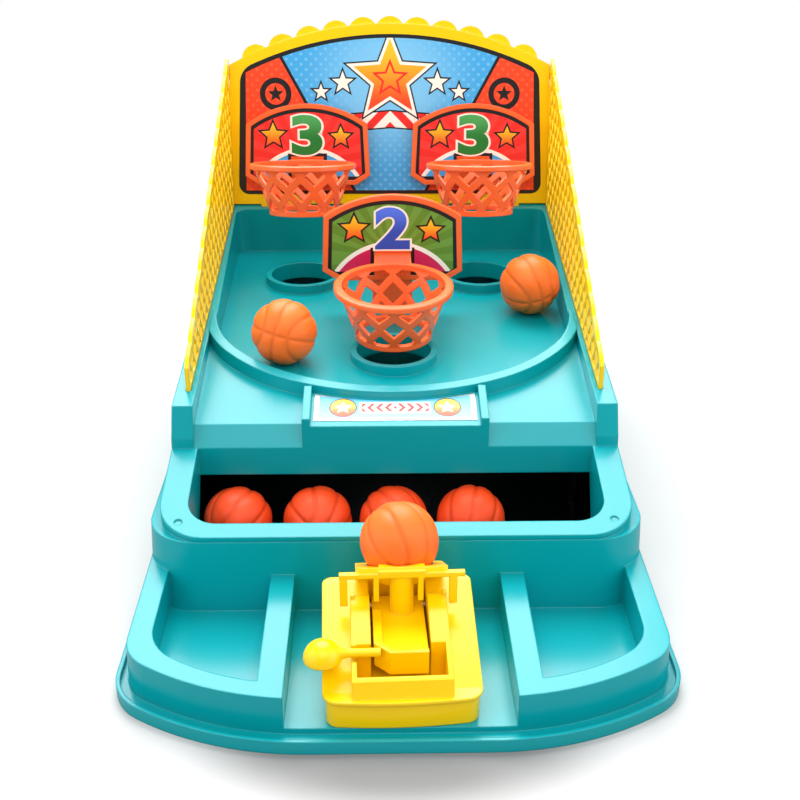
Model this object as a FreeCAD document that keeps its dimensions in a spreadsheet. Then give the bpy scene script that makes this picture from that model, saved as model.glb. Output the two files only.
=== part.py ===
import FreeCAD, Part
import math
import os

# A tabletop basketball game of moulded plastic, in millimetres, standing on Z = 0.
# X runs to the player's right and Y away from the player.
# Every piece is drawn with Y measured from the front of the flange, and one placement
# then moves it so that the origin lies under the middle of the whole toy.

Vector = FreeCAD.Vector
os.makedirs("parts", exist_ok=True)
doc = FreeCAD.newDocument("basketball_game")

SIZES = {
    # Balls
    "ball_diameter": 30.0,
    "ball_seat_gap": 0.25,
    "ball_row": 120.0,
    "ball_1_offset": -68.4,
    "ball_2_offset": -33.8,
    "ball_3_offset": -1.0,
    "ball_4_offset": 32.5,
    "ball_left_offset": -50.0,
    "ball_left_depth": 178.0,
    "ball_right_offset": 68.7,
    "ball_right_depth": 232.0,
    # Shell walls and the overrun that takes every cut clear of its faces
    "shell_wall": 2.0,
    "overrun": 4.0,
    # Flange and apron
    "flange_half_width": 104.8,
    "flange_straight_share": 0.3053,
    "flange_radius_share": 1.0973,
    "flange_front_sweep": 33.0,
    "flange_height": 5.5,
    "flange_lip": 1.6,
    "groove_floor": 3.2,
    "apron_floor": 5.5,
    "apron_length": 92.0,
    "apron_foot_inset": 3.9,
    "apron_foot_setback": 2.6,
    "apron_rim_inset": 5.2,
    "apron_rim_setback": 1.8,
    "apron_front_height": 18.4,
    "apron_back_height": 21.5,
    "tray_side_inset": 13.5,
    "tray_front": 14.7,
    "tray_straight_share": 0.3943,
    "tray_radius_share": 0.931,
    "bay_half_width": 40.75,
    "divider_width": 9.4,
    # Trough for the balls, under the front of the playfield
    "trough_front": 73.4,
    "trough_floor": 3.5,
    "trough_lean": 4.0,
    "trough_rim_height": 38.0,
    "trough_rim_width": 7.4,
    "trough_side_rim": 11.0,
    "trough_back_height": 51.0,
    "trough_corner": 12.5,
    "body_front_corner": 20.0,
    "body_back_corner": 8.0,
    "trough_lip_depth": 1.6,
    "cheek_foot": 113.0,
    "cheek_foot_height": 14.0,
    "trough_lip_wall": 1.6,
    "trough_foot_depth": 36.0,
    "rim_thickness": 2.0,
    "dimple_radius": 1.6,
    "dimple_depth": 0.6,
    "dimple_inset": 8.4,
    "mould_gap": 0.3,
    # Ramp that brings the balls back to the trough
    "ramp_start": 140.0,
    "ramp_rise": 18.0,
    # Lower body walls
    "body_back": 328.0,
    "body_foot_half_width": 101.2,
    "body_ledge_half_width": 99.8,
    "body_ledge_height": 36.0,
    "split_height": 49.0,
    # Upper moulding
    "upper_foot_half_width": 95.4,
    "upper_top_half_width": 93.2,
    "front_wall": 126.6,
    "front_wall_foot": 38.0,
    "rail_foot_height": 55.6,
    "rail_front": 131.0,
    "rail_front_height": 69.0,
    "rail_back_height": 101.0,
    "deck_half_width": 85.8,
    "deck_edge": 132.4,
    "deck_edge_height": 59.5,
    "deck_slope": 0.24,
    # Raised block with the label
    "block_half_width": 39.7,
    "block_height": 3.0,
    "block_rib": 3.4,
    # Curved lip round the front of the basin
    "lip_centre": 204.0,
    "lip_half_width": 84.0,
    "lip_reach": 55.4,
    "lip_width": 4.6,
    "lip_height": 6.5,
    # Basin with its three holes
    "basin_back": 318.0,
    "basin_back_half_width": 86.2,
    "basin_corner": 6.0,
    "basin_floor_front": 163.0,
    "basin_floor_height": 67.0,
    "basin_slope": 0.05,
    "hole_front": 183.3,
    "hole_back": 275.6,
    "hole_spread": 47.0,
    "hole_radius": 17.3,
    "collar_radius": 20.2,
    "collar_height": 3.8,
    "collar_skirt": 3.0,
    # Screws that hold the two mouldings together
    "screw_side": 84.6,
    "screw_front": 158.0,
    "screw_back": 300.0,
    "screw_boss_radius": 4.2,
    "screw_boss_height": 30.0,
    "screw_shank_radius": 1.45,
    "screw_head_radius": 2.8,
    "screw_head_height": 2.2,
    "screw_length": 16.0,
    "screw_clearance": 0.15,
    "screw_seat": 4.0,
    # Backboard panel, leaning back from the rear ledge
    "panel_foot": 322.5,
    "panel_lean": 10.4,
    "panel_thickness": 2.4,
    "panel_foot_half_width": 90.9,
    "panel_side_half_width": 87.6,
    "panel_side_height": 75.5,
    "panel_height": 97.0,
    "panel_tab_width": 22.0,
    "panel_tab_depth": 7.0,
    "panel_tab_spread": 62.0,
    "panel_tab_clearance": 0.15,
    "scallop_count": 11.0,
    "scallop_radius": 8.0,
    "scallop_rise": 3.8,
    "scallop_thickness": 1.4,
    "print_margin": 5.6,
    "print_corner_radius": 6.0,
    "print_thickness": 0.25,
    # Side nets
    "net_thickness": 1.8,
    "net_side": 89.0,
    "net_front": 142.0,
    "net_tip_height": 10.5,
    "net_top_height": 77.0,
    "net_border": 2.0,
    "net_cell_width": 9.6,
    "net_cell_height": 13.2,
    "net_bar_width": 1.7,
    "net_scallops": 15.0,
    "net_scallop_rise": 1.3,
    "net_slot_depth": 1.2,
    "net_slot_clearance": 0.15,
    "net_panel_gap": 0.5,
    "peg_radius": 1.1,
    "peg_length": 4.4,
    "eyelet_radius": 4.0,
    "peg_clearance": 0.12,
    # Hoop boards
    "board_half_width": 34.6,
    "board_shoulder_half_width": 33.4,
    "board_foot_half_width": 27.0,
    "board_chin": 5.0,
    "board_shoulder": 33.0,
    "board_height": 44.0,
    "board_thickness": 2.4,
    "board_recess": 0.6,
    "board_frame": 2.6,
    "board_spread": 46.0,
    "board_lift": 11.0,
    "board_gap": 3.0,
    "stud_radius": 2.0,
    "stud_clearance": 0.1,
    # Front board on its post
    "front_board": 232.0,
    "front_board_height": 88.0,
    "front_board_lean": -3.0,
    "post_width": 20.0,
    "post_thickness": 2.6,
    "post_flange": 6.0,
    "post_top_share": 0.62,
    "post_tab_width": 12.0,
    "post_tab_depth": 5.0,
    "seat_gap": 0.1,
    # Baskets
    "hoop_reach": 38.5,
    "hoop_height": 13.0,
    "hoop_radius": 27.7,
    "rim_width": 3.8,
    "rim_height": 3.0,
    "basket_depth": 24.6,
    "basket_foot_radius": 17.4,
    "basket_wall": 1.6,
    "basket_ring_height": 2.6,
    "basket_cells": 10.0,
    "basket_bar_width": 3.0,
    "bracket_width": 18.0,
    "bracket_thickness": 2.6,
    "bracket_clearance": 0.12,
    "bracket_tongue": 1.8,
    # Launcher housing, drawn about its swivel axis
    "pivot_front": 34.0,
    "aim_angle": 2.0,
    "housing_clearance": 0.2,
    "housing_half_width": 28.0,
    "housing_front_bow": 28.6,
    "housing_front_corner": 22.0,
    "housing_front_sagitta": 1.2,
    "housing_corner_radius": 6.0,
    "housing_back_radius": 4.0,
    "housing_back": 25.7,
    "housing_front_height": 11.8,
    "housing_slope": 0.33,
    "housing_rear_height": 26.4,
    "housing_wall": 1.8,
    "housing_skirt_inset": 1.0,
    "housing_flange": 1.3,
    "block_side": 17.6,
    "block_front_rise": 6.2,
    "block_front_set": 24.4,
    "block_back": 10.0,
    "post_bump": 1.6,
    "well_half_width": 15.8,
    "well_floor": 7.4,
    "slot_half_width": 10.6,
    "slot_front": 10.0,
    # Swivel spigot and what holds it
    "spigot_radius": 4.1,
    "spigot_clearance": 0.08,
    "washer_radius": 8.0,
    "washer_thickness": 1.0,
    "swivel_screw_radius": 1.5,
    "swivel_screw_head_radius": 3.2,
    "swivel_screw_head_height": 1.5,
    "swivel_screw_length": 9.0,
    # Throw arm, its pin and its spring
    "pin_back": 19.0,
    "pin_height": 17.6,
    "pin_radius": 1.5,
    "pin_half_length": 15.6,
    "pin_clearance": 0.05,
    "arm_boss_radius": 3.6,
    "pad_half_width": 9.6,
    "pad_front": 16.0,
    "pad_back": 9.4,
    "pad_height": 21.2,
    "pad_thickness": 2.4,
    "pad_wall": 3.2,
    "pad_wall_height": 2.2,
    "pad_nose": 5.6,
    "pad_nose_depth": 7.4,
    "column_half_width": 4.3,
    "cup_side": 1.3,
    "cup_tilt": 31.0,
    "cup_drop": 8.7,
    "cup_half_depth": 15.0,
    "bowl_back": 26.0,
    "bowl_height": 41.8,
    "bowl_wall": 1.9,
    "cup_half_width": 16.8,
    "cup_plate": 2.9,
    "cup_corner": 2.0,
    "yoke_half_width": 22.8,
    "yoke_front": 7.0,
    "yoke_depth": 2.2,
    "yoke_top": 40.1,
    "yoke_height": 1.8,
    "outer_leg_side": 21.4,
    "outer_leg_width": 2.9,
    "outer_leg_length": 11.6,
    "inner_leg_side": 9.1,
    "inner_leg_width": 2.0,
    "inner_leg_length": 10.0,
    "knob_side": 27.7,
    "knob_front": 13.6,
    "knob_height": 22.0,
    "knob_base": 20.3,
    "knob_radius": 6.85,
    "knob_rod_radius": 1.6,
    "knob_neck_share": 0.6,
    "knob_neck_length": 8.6,
    "knob_rod_depth": 2.4,
    "knob_travel": 7.4,
    "coil_radius": 3.4,
    "coil_wire": 0.45,
    "coil_turns": 5.0,
    "coil_front": 5.0,
    "coil_gap": 0.1,
}

sheet = doc.addObject("Spreadsheet::Sheet", "Sizes")
for row, (alias, value) in enumerate(SIZES.items(), start=1):
    sheet.set(f"A{row}", alias)
    sheet.set(f"B{row}", str(value))
    sheet.setAlias(f"B{row}", alias)
doc.recompute()


class Measures:
    """The sheet's values by name, and what follows from them."""

    def __getattr__(self, alias):
        return float(sheet.get(alias))


m = Measures()
shared_parts = []

# Values that follow from the driving sizes
ball_radius = m.ball_diameter / 2
lean = math.radians(m.panel_lean)
rail_slope = (m.rail_back_height - m.rail_front_height) / (m.body_back - m.rail_front)
trough_top_front = m.trough_front + m.trough_lean
rim_slope = (m.trough_back_height - m.trough_rim_height) / (m.front_wall - trough_top_front)
opening_front = trough_top_front + m.trough_rim_width
opening_half_width = m.upper_foot_half_width - m.trough_side_rim
upper_top = m.rail_back_height


def rail_top(y):
    """Height of the side rails' top at a distance from the front."""
    return m.rail_front_height + rail_slope * (y - m.rail_front)


def deck_top(y):
    """Height of the sloped deck in front of the basin."""
    return m.deck_edge_height + m.deck_slope * (y - m.deck_edge)


def basin_floor(y):
    """Height of the basin's nearly level floor."""
    return m.basin_floor_height + m.basin_slope * (y - m.basin_floor_front)


def rim_top(y):
    """Height of the sloped rim round the trough."""
    return m.trough_rim_height + rim_slope * (y - trough_top_front)


panel_foot_height = rail_top(m.panel_foot + m.panel_thickness) + m.panel_thickness * math.sin(lean)
total_depth = (m.panel_foot + (m.panel_height + m.scallop_rise) * math.sin(lean)
               + m.panel_thickness * math.cos(lean))
middle = total_depth / 2


# Helpers for outlines, solids and placements

def line(start, end):
    """Straight edge between two points of a plane outline."""
    return Part.LineSegment(Vector(*start, 0), Vector(*end, 0))


def arc(start, through, end):
    """Round edge through three points of a plane outline."""
    return Part.Arc(Vector(*start, 0), Vector(*through, 0), Vector(*end, 0))


def polygon(points):
    """Closed outline of straight edges."""
    return [line(points[i], points[(i + 1) % len(points)]) for i in range(len(points))]


def mirrored_outline(half):
    """Closes a right-hand half outline, given from the front centre to the back centre, on its left."""
    left = []
    for edge in reversed(half):
        first, last = edge.StartPoint, edge.EndPoint
        if isinstance(edge, Part.LineSegment):
            left.append(line((-last.x, last.y), (-first.x, first.y)))
        else:
            centre = edge.value((edge.FirstParameter + edge.LastParameter) / 2)
            left.append(arc((-last.x, last.y), (-centre.x, centre.y), (-first.x, first.y)))
    return half + left


def wire_of(edges):
    """One wire from plane outline edges."""
    return Part.Wire(Part.__sortEdges__([edge.toShape() for edge in edges]))


def slab(edges, bottom, top):
    """Solid that stands on a plan outline."""
    face = Part.Face(wire_of(edges))
    face.translate(Vector(0, 0, bottom))
    return face.extrude(Vector(0, 0, top - bottom))


def tapered(lower, upper, bottom, top):
    """Solid that runs from one plan outline to a like one above it."""
    low, high = wire_of(lower), wire_of(upper)
    low.translate(Vector(0, 0, bottom))
    high.translate(Vector(0, 0, top))
    return Part.makeLoft([low, high], True, True)


def side_profile(points, left, right):
    """Solid with a side view given as points of distance and height, from one side to another."""
    corners = [Vector(left, y, z) for y, z in points]
    face = Part.Face(Part.makePolygon(corners + corners[:1]))
    return face.extrude(Vector(right - left, 0, 0))


def rectangle(left, right, front, back):
    """Outline of an upright rectangle in plan."""
    return polygon([(left, front), (right, front), (right, back), (left, back)])


def block(left, right, front, back, bottom, top):
    """Box between named sides."""
    return slab(rectangle(left, right, front, back), bottom, top)


def rounded_rectangle(half_width, front, back, radius):
    """Plan outline of a rectangle centred on X with four round corners."""
    cut = radius * (1 - math.sqrt(0.5))
    right = [
        line((0, front), (half_width - radius, front)),
        arc((half_width - radius, front), (half_width - cut, front + cut), (half_width, front + radius)),
        line((half_width, front + radius), (half_width, back - radius)),
        arc((half_width, back - radius), (half_width - cut, back - cut), (half_width - radius, back)),
        line((half_width - radius, back), (0, back)),
    ]
    return mirrored_outline(right)


def rod(radius, start, direction, length):
    """Round bar."""
    return Part.makeCylinder(radius, length, Vector(*start), Vector(*direction))


def place_on_toy(item):
    """Moves a piece from the front of the flange to the toy's own origin."""
    item.Placement = FreeCAD.Placement(Vector(0, -middle, 0), FreeCAD.Rotation())


def place_in_frame(item, foot, height, tilt, side=0.0):
    """Stands a piece that is drawn upright on a foot point, leaning back by an angle."""
    turn = FreeCAD.Rotation(Vector(1, 0, 0), -tilt)
    item.Placement = FreeCAD.Placement(Vector(side, foot - middle, height), turn)


def place_on_launcher(item):
    """Puts a piece that is drawn about the swivel axis on the apron."""
    turn = FreeCAD.Rotation(Vector(0, 0, 1), m.aim_angle)
    base = Vector(0, m.pivot_front - middle, m.apron_floor + m.housing_clearance)
    item.Placement = FreeCAD.Placement(base, turn)


def feature(name, shape, place=place_on_toy):
    """Adds one solid as a named sub-part."""
    item = doc.addObject("Part::Feature", name)
    item.Label = name
    item.Shape = shape.removeSplitter()
    place(item)
    shared_parts.append(item)
    return item


def new_body(name):
    """Starts a body with its own label."""
    body = doc.addObject("PartDesign::Body", name)
    body.Label = name
    shared_parts.append(body)
    return body


def upright_sketch(body, name, edges, role="XZ_Plane"):
    """Sketch in one of the body's upright planes."""
    plane = next(item for item in body.Origin.OriginFeatures if item.Role == role)
    sketch = body.newObject("Sketcher::SketchObject", name)
    sketch.AttachmentSupport = [(plane, "")]
    sketch.MapMode = "FlatFace"
    sketch.addGeometry(edges)
    return sketch


def pad(body, name, edges, thickness, offset="0", toward_front=True, role="XZ_Plane"):
    """Plate from an upright sketch, with thickness and distance bound to the sheet."""
    sketch = upright_sketch(body, name + "_outline", edges, role)
    sketch.setExpression(".AttachmentOffset.Base.z", offset)
    plate = body.newObject("PartDesign::Pad", name)
    plate.Profile = sketch
    plate.setExpression("Length", thickness)
    plate.Reversed = not toward_front
    return plate


def pocket(body, name, edges, depth, offset="0", toward_front=False):
    """Recess from an upright sketch, with depth and distance bound to the sheet."""
    sketch = upright_sketch(body, name + "_outline", edges)
    sketch.setExpression(".AttachmentOffset.Base.z", offset)
    cut = body.newObject("PartDesign::Pocket", name)
    cut.Profile = sketch
    cut.setExpression("Length", depth)
    cut.Reversed = toward_front
    return cut


def circle(centre, radius):
    """Round outline for a sketch."""
    return Part.Circle(Vector(*centre, 0), Vector(0, 0, 1), radius)


# Lower moulding: flange, trays, centre bay, trough and ramp

def curved_apron(half_width, front, straight_half, radius):
    """Plan outline with a straight front that curves round to straight sides."""
    sweep = math.radians(m.flange_front_sweep)
    reach = radius * math.sin(sweep)
    small = (half_width - straight_half - reach) / (1 - math.sin(sweep))
    centre = (straight_half, front + radius)

    def on_front(angle):
        return (centre[0] + radius * math.sin(angle), centre[1] - radius * math.cos(angle))

    joint = on_front(sweep)
    turn = (joint[0] - small * math.sin(sweep), joint[1] + small * math.cos(sweep))

    def on_corner(angle):
        return (turn[0] + small * math.sin(angle), turn[1] - small * math.cos(angle))

    side = on_corner(math.pi / 2)
    back = (side[0], m.apron_length)
    return mirrored_outline([
        line((0, front), (centre[0], front)),
        arc((centre[0], front), on_front(sweep / 2), joint),
        arc(joint, on_corner((sweep + math.pi / 2) / 2), side),
        line(side, back),
        line(back, (0, m.apron_length)),
    ])


def apron_outline(inset, setback):
    """Outline of the flange moved inwards by an inset, and back by a setback."""
    half = m.flange_half_width
    return curved_apron(half - inset, inset + setback, half * m.flange_straight_share,
                        half * m.flange_radius_share - inset)


def body_outline(half_width, front, back, grow):
    """Plan outline of the body with round corners, moved inwards by grow."""
    half = half_width - grow
    front, back = front + grow, back - grow
    near, far = m.body_front_corner - grow, m.body_back_corner - grow
    share = 1 - math.sqrt(0.5)
    return mirrored_outline([
        line((0, front), (half - near, front)),
        arc((half - near, front), (half - near * share, front + near * share), (half, front + near)),
        line((half, front + near), (half, back - far)),
        arc((half, back - far), (half - far * share, back - far * share), (half - far, back)),
        line((half - far, back), (0, back)),
    ])


def body_block(grow):
    """Lower body under the rim and the upper moulding, with a ledge at its sides, moved inwards by grow."""
    lean_back = m.trough_lean * m.trough_back_height / m.trough_rim_height
    ledge_back = m.trough_lean * m.body_ledge_height / m.trough_rim_height
    low = tapered(body_outline(m.body_foot_half_width, m.trough_front, m.body_back, grow),
                  body_outline(m.body_ledge_half_width, m.trough_front + ledge_back, m.body_back, grow),
                  0, m.body_ledge_height)
    low = low.common(block(-m.flange_half_width, m.flange_half_width, 0, m.body_back, 0,
                           m.body_ledge_height - grow))
    high = tapered(body_outline(m.upper_foot_half_width, m.trough_front, m.body_back, grow),
                   body_outline(m.upper_foot_half_width, m.trough_front + lean_back, m.body_back, grow),
                   0, m.trough_back_height)
    drop = m.rim_thickness + grow
    sides = side_profile([
        (m.trough_front, 0),
        (m.trough_front, rim_top(m.trough_front) - drop),
        (m.front_wall, rim_top(m.front_wall) - drop),
        (m.front_wall, m.split_height - grow),
        (m.body_back, m.split_height - grow),
        (m.body_back, 0),
    ], -m.body_foot_half_width, m.body_foot_half_width)
    return low.fuse(high).common(sides)


def apron_top(y):
    """Height of the tray rims, which rise a little towards the back."""
    rise = m.apron_back_height - m.apron_front_height
    return m.apron_front_height + rise * y / m.trough_front


def below_apron_top(drop):
    """Space under the plane of the tray rims."""
    return side_profile([(0, 0), (0, apron_top(0) - drop),
                         (m.apron_length, apron_top(m.apron_length) - drop), (m.apron_length, 0)],
                        -m.flange_half_width, m.flange_half_width)


def tray(side, grow):
    """Open space of one parts tray, grown outwards by a wall."""
    half = m.flange_half_width - m.tray_side_inset
    plan = slab(curved_apron(half + grow, m.tray_front - grow, half * m.tray_straight_share,
                             half * m.tray_radius_share + grow), m.apron_floor - grow,
                m.apron_back_height + m.overrun)
    inner = side * (m.bay_half_width + m.divider_width - grow)
    outer = side * m.flange_half_width
    window = block(min(inner, outer), max(inner, outer), 0, m.apron_length, 0,
                   m.apron_back_height + 2 * m.overrun)
    return plan.common(window)


def centre_bay(grow):
    """Open space between the dividers, where the launcher stands."""
    half = m.bay_half_width + grow
    return block(-half, half, -m.overrun, m.apron_length, m.apron_floor - grow,
                 m.apron_back_height + m.overrun)


def trough_space(grow):
    """Space of the ball trough and of the ramp behind it, grown by a wall."""
    half = m.upper_foot_half_width - m.shell_wall + grow
    front = opening_front - m.trough_lip_wall - m.mould_gap - grow
    foot = trough_top_front + m.trough_foot_depth - grow
    back = m.body_back - m.shell_wall + grow
    floor = m.trough_floor - grow
    space = side_profile([
        (front, m.trough_back_height + m.overrun),
        (front, rim_top(front) - m.rim_thickness - m.shell_wall),
        (foot, floor),
        (m.ramp_start, floor),
        (back, floor + m.ramp_rise),
        (back, m.trough_back_height + m.overrun),
    ], -half, half)
    plan = body_outline(m.upper_foot_half_width, m.trough_front + m.trough_lean, m.body_back,
                        m.shell_wall - grow)
    return space.common(slab(plan, 0, m.trough_back_height + m.overrun))


def screw_places():
    """Plan positions of the four case screws."""
    return [(side * m.screw_side, y) for side in (-1, 1) for y in (m.screw_front, m.screw_back)]


def base_moulding():
    """Lower shell with trays, bay, trough, ramp, screw bosses and the swivel hole."""
    flange = slab(apron_outline(0, 0), 0, m.flange_height)
    groove = slab(apron_outline(m.flange_lip, 0), m.groove_floor, m.flange_height + m.overrun)
    wall = m.shell_wall
    apron = tapered(apron_outline(m.apron_foot_inset, m.apron_foot_setback),
                    apron_outline(m.apron_rim_inset, m.apron_rim_setback), 0, m.apron_back_height + wall)
    apron = apron.common(below_apron_top(0))
    inside = tapered(apron_outline(m.apron_foot_inset + wall, m.apron_foot_setback),
                     apron_outline(m.apron_rim_inset + wall, m.apron_rim_setback), 0,
                     m.apron_back_height + wall)
    inside = inside.common(below_apron_top(wall))
    inside = inside.cut([tray(-1, wall), tray(1, wall), centre_bay(wall)])
    cavity = body_block(wall).cut(trough_space(wall))
    apron = flange.cut(groove).fuse(apron).cut([tray(-1, 0), tray(1, 0), centre_bay(0)])
    shell = apron.fuse(body_block(0)).cut(trough_space(0)).cut([inside, cavity])
    pivot = (0, m.pivot_front, 0)
    bosses = []
    bores = [rod(m.spigot_radius + m.spigot_clearance, pivot, (0, 0, 1), m.apron_front_height)]
    for x, y in screw_places():
        bosses.append(rod(m.screw_boss_radius, (x, y, 0), (0, 0, 1), m.screw_boss_height))
        bores.append(rod(m.screw_shank_radius + m.screw_clearance, (x, y, 0), (0, 0, 1),
                         m.screw_boss_height + m.overrun))
        bores.append(rod(m.screw_head_radius + m.screw_clearance, (x, y, -m.overrun), (0, 0, 1),
                         m.screw_boss_height - m.screw_seat + m.overrun))
    return shell.fuse(bosses).cut(bores)


# Upper moulding: rim, rails, deck, label block, curved lip, basin and holes

def lip_outline(grow):
    """Plan outline inside the curved lip: an elliptical front and straight sides to the back."""
    across = m.lip_half_width + grow
    along = m.lip_reach + grow
    share_angles = [math.pi / 2 * step / 3 for step in range(4)]

    def point(angle):
        return (across * math.sin(angle), m.lip_centre - along * math.cos(angle))

    edges = []
    for first, last in zip(share_angles, share_angles[1:]):
        edges.append(arc(point(first), point((first + last) / 2), point(last)))
    return edges, (across, m.lip_centre)


def basin_outline(grow):
    """Plan outline of the basin, round at its rear corners."""
    edges, side = lip_outline(grow)
    back = m.basin_back + grow
    half = m.basin_back_half_width + grow
    radius = m.basin_corner + grow
    cut = radius * (1 - math.sqrt(0.5))
    edges = edges + [
        line(side, (half, back - radius)),
        arc((half, back - radius), (half - cut, back - cut), (half - radius, back)),
        line((half - radius, back), (0, back)),
    ]
    return mirrored_outline(edges)


def above(height_at, drop, half_width):
    """Half space above a sloped surface, from the front wall to the back."""
    front = m.front_wall - m.overrun
    back = m.body_back + m.overrun
    top = max(height_at(back) - drop, upper_top) + 2 * m.overrun
    return side_profile([
        (front, height_at(front) - drop),
        (back, height_at(back) - drop),
        (back, top),
        (front, top),
    ], -half_width, half_width)


def basin_space(grow):
    """Open space of the basin, grown by a wall."""
    plan = slab(basin_outline(grow), m.split_height, upper_top + m.overrun)
    return plan.common(above(basin_floor, grow, m.flange_half_width))


def deck_space(grow):
    """Open space over the sloped deck between the rails."""
    half = m.deck_half_width + grow
    back = m.lip_centre
    top = upper_top + m.overrun
    return side_profile([
        (m.front_wall - m.overrun, m.trough_back_height - grow),
        (m.front_wall + grow, m.trough_back_height - grow),
        (m.deck_edge + grow, m.deck_edge_height - grow),
        (back, deck_top(back) - grow),
        (back, top),
        (m.front_wall - m.overrun, top),
    ], -half, half)


def upper_walls(front, bottom, grow):
    """Form between the upper moulding's drafted sides, behind a front and over a height, less grow."""
    draft = (m.upper_foot_half_width - m.upper_top_half_width) / (upper_top - m.split_height)
    foot_half = m.upper_top_half_width + draft * (upper_top - bottom)
    return tapered(body_outline(foot_half, front, m.body_back, grow),
                   body_outline(m.upper_top_half_width, front, m.body_back, grow), bottom, upper_top)


def upper_block(grow):
    """Outer form of the rails and the rear, moved inwards by grow."""
    walls = upper_walls(m.front_wall - m.overrun - m.body_front_corner, m.split_height, grow)
    drop = grow
    front = m.front_wall + grow
    sides = side_profile([
        (front, m.split_height),
        (front, m.rail_foot_height - drop),
        (m.rail_front + grow, rail_top(m.rail_front) - drop),
        (m.body_back - grow, rail_top(m.body_back) - drop),
        (m.body_back - grow, m.split_height),
    ], -m.flange_half_width, m.flange_half_width)
    return walls.common(sides)


def lip_and_block():
    """Curved lip on the deck, and the label block with its two ribs in front of it."""
    above_deck = above(deck_top, m.shell_wall, m.deck_half_width)
    edges, side = lip_outline(m.lip_width)
    plan = mirrored_outline(edges + [line(side, (0, m.lip_centre))])
    below_lip_top = above_deck.cut(above(deck_top, -m.lip_height, m.flange_half_width))
    lip = slab(plan, m.split_height, upper_top).common(below_lip_top)
    front, back = m.front_wall, m.lip_centre - m.lip_reach
    half = m.block_half_width
    low = above_deck.cut(above(deck_top, -m.block_height, m.flange_half_width))
    label_block = block(-half, half, front, back, m.trough_back_height, upper_top).common(low)
    ribs = [block(side_x, side_x + m.block_rib, front, back, m.trough_back_height, upper_top)
            for side_x in (-half, half - m.block_rib)]
    ribs = [rib.common(below_lip_top) for rib in ribs]
    front_fill = side_profile([
        (front, m.trough_back_height - m.shell_wall),
        (front, deck_top(front) + m.block_height),
        (m.deck_edge + m.shell_wall, deck_top(m.deck_edge + m.shell_wall)),
        (front + m.shell_wall, m.trough_back_height - m.shell_wall),
    ], -half, half)
    return lip.fuse([label_block, front_fill] + ribs)


def under_rim(drop, front, back):
    """Layer under the sloped rim plane, a given depth thick."""
    half = m.flange_half_width
    return side_profile([
        (front, rim_top(front)), (back, rim_top(back)),
        (back, rim_top(back) - drop), (front, rim_top(front) - drop),
    ], -half, half)


def trough_rim():
    """Sloped rim round the trough opening, a lip that hangs into the trough, and two side cheeks."""
    half = m.upper_foot_half_width
    front, back = trough_top_front, m.front_wall + m.shell_wall
    plate = under_rim(m.rim_thickness, front, back).common(upper_walls(front, 0, 0))
    wall = m.trough_lip_wall
    far = m.front_wall + 2 * m.trough_corner
    outer = rounded_rectangle(opening_half_width + wall, opening_front - wall, far, m.trough_corner + wall)
    hanging = under_rim(m.rim_thickness + m.trough_lip_depth, front, back)
    hanging = hanging.common(slab(outer, 0, upper_top))
    inner = rounded_rectangle(opening_half_width, opening_front, far, m.trough_corner)
    opening = slab(inner, 0, upper_top).common(block(-half, half, 0, m.front_wall, 0, upper_top))
    start = opening_front + m.trough_corner
    cheek_points = [
        (start, rim_top(start) - m.rim_thickness), (back, rim_top(back) - m.rim_thickness),
        (back, m.front_wall_foot), (m.cheek_foot, m.cheek_foot_height),
        (start, rim_top(start) - m.rim_thickness - m.trough_lip_depth - m.shell_wall),
    ]
    cheeks = [side_profile(cheek_points, left, left + wall)
              for left in (-opening_half_width - wall, opening_half_width)]
    dimples = [rod(m.dimple_radius, (side * (half - m.dimple_inset), front + m.dimple_inset,
                                     rim_top(front + m.dimple_inset) - m.dimple_depth),
                   (0, -rim_slope, 1), m.overrun) for side in (-1, 1)]
    return plate.fuse([hanging] + cheeks).cut([opening] + dimples)


def hole_places():
    """Plan positions of the three holes."""
    return [(0, m.hole_front), (-m.hole_spread, m.hole_back), (m.hole_spread, m.hole_back)]


def net_rear(z):
    """Where the nets end in front of the leaning panel, at a height."""
    return m.panel_foot + (z - panel_foot_height) * math.tan(lean) - m.net_panel_gap


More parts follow.
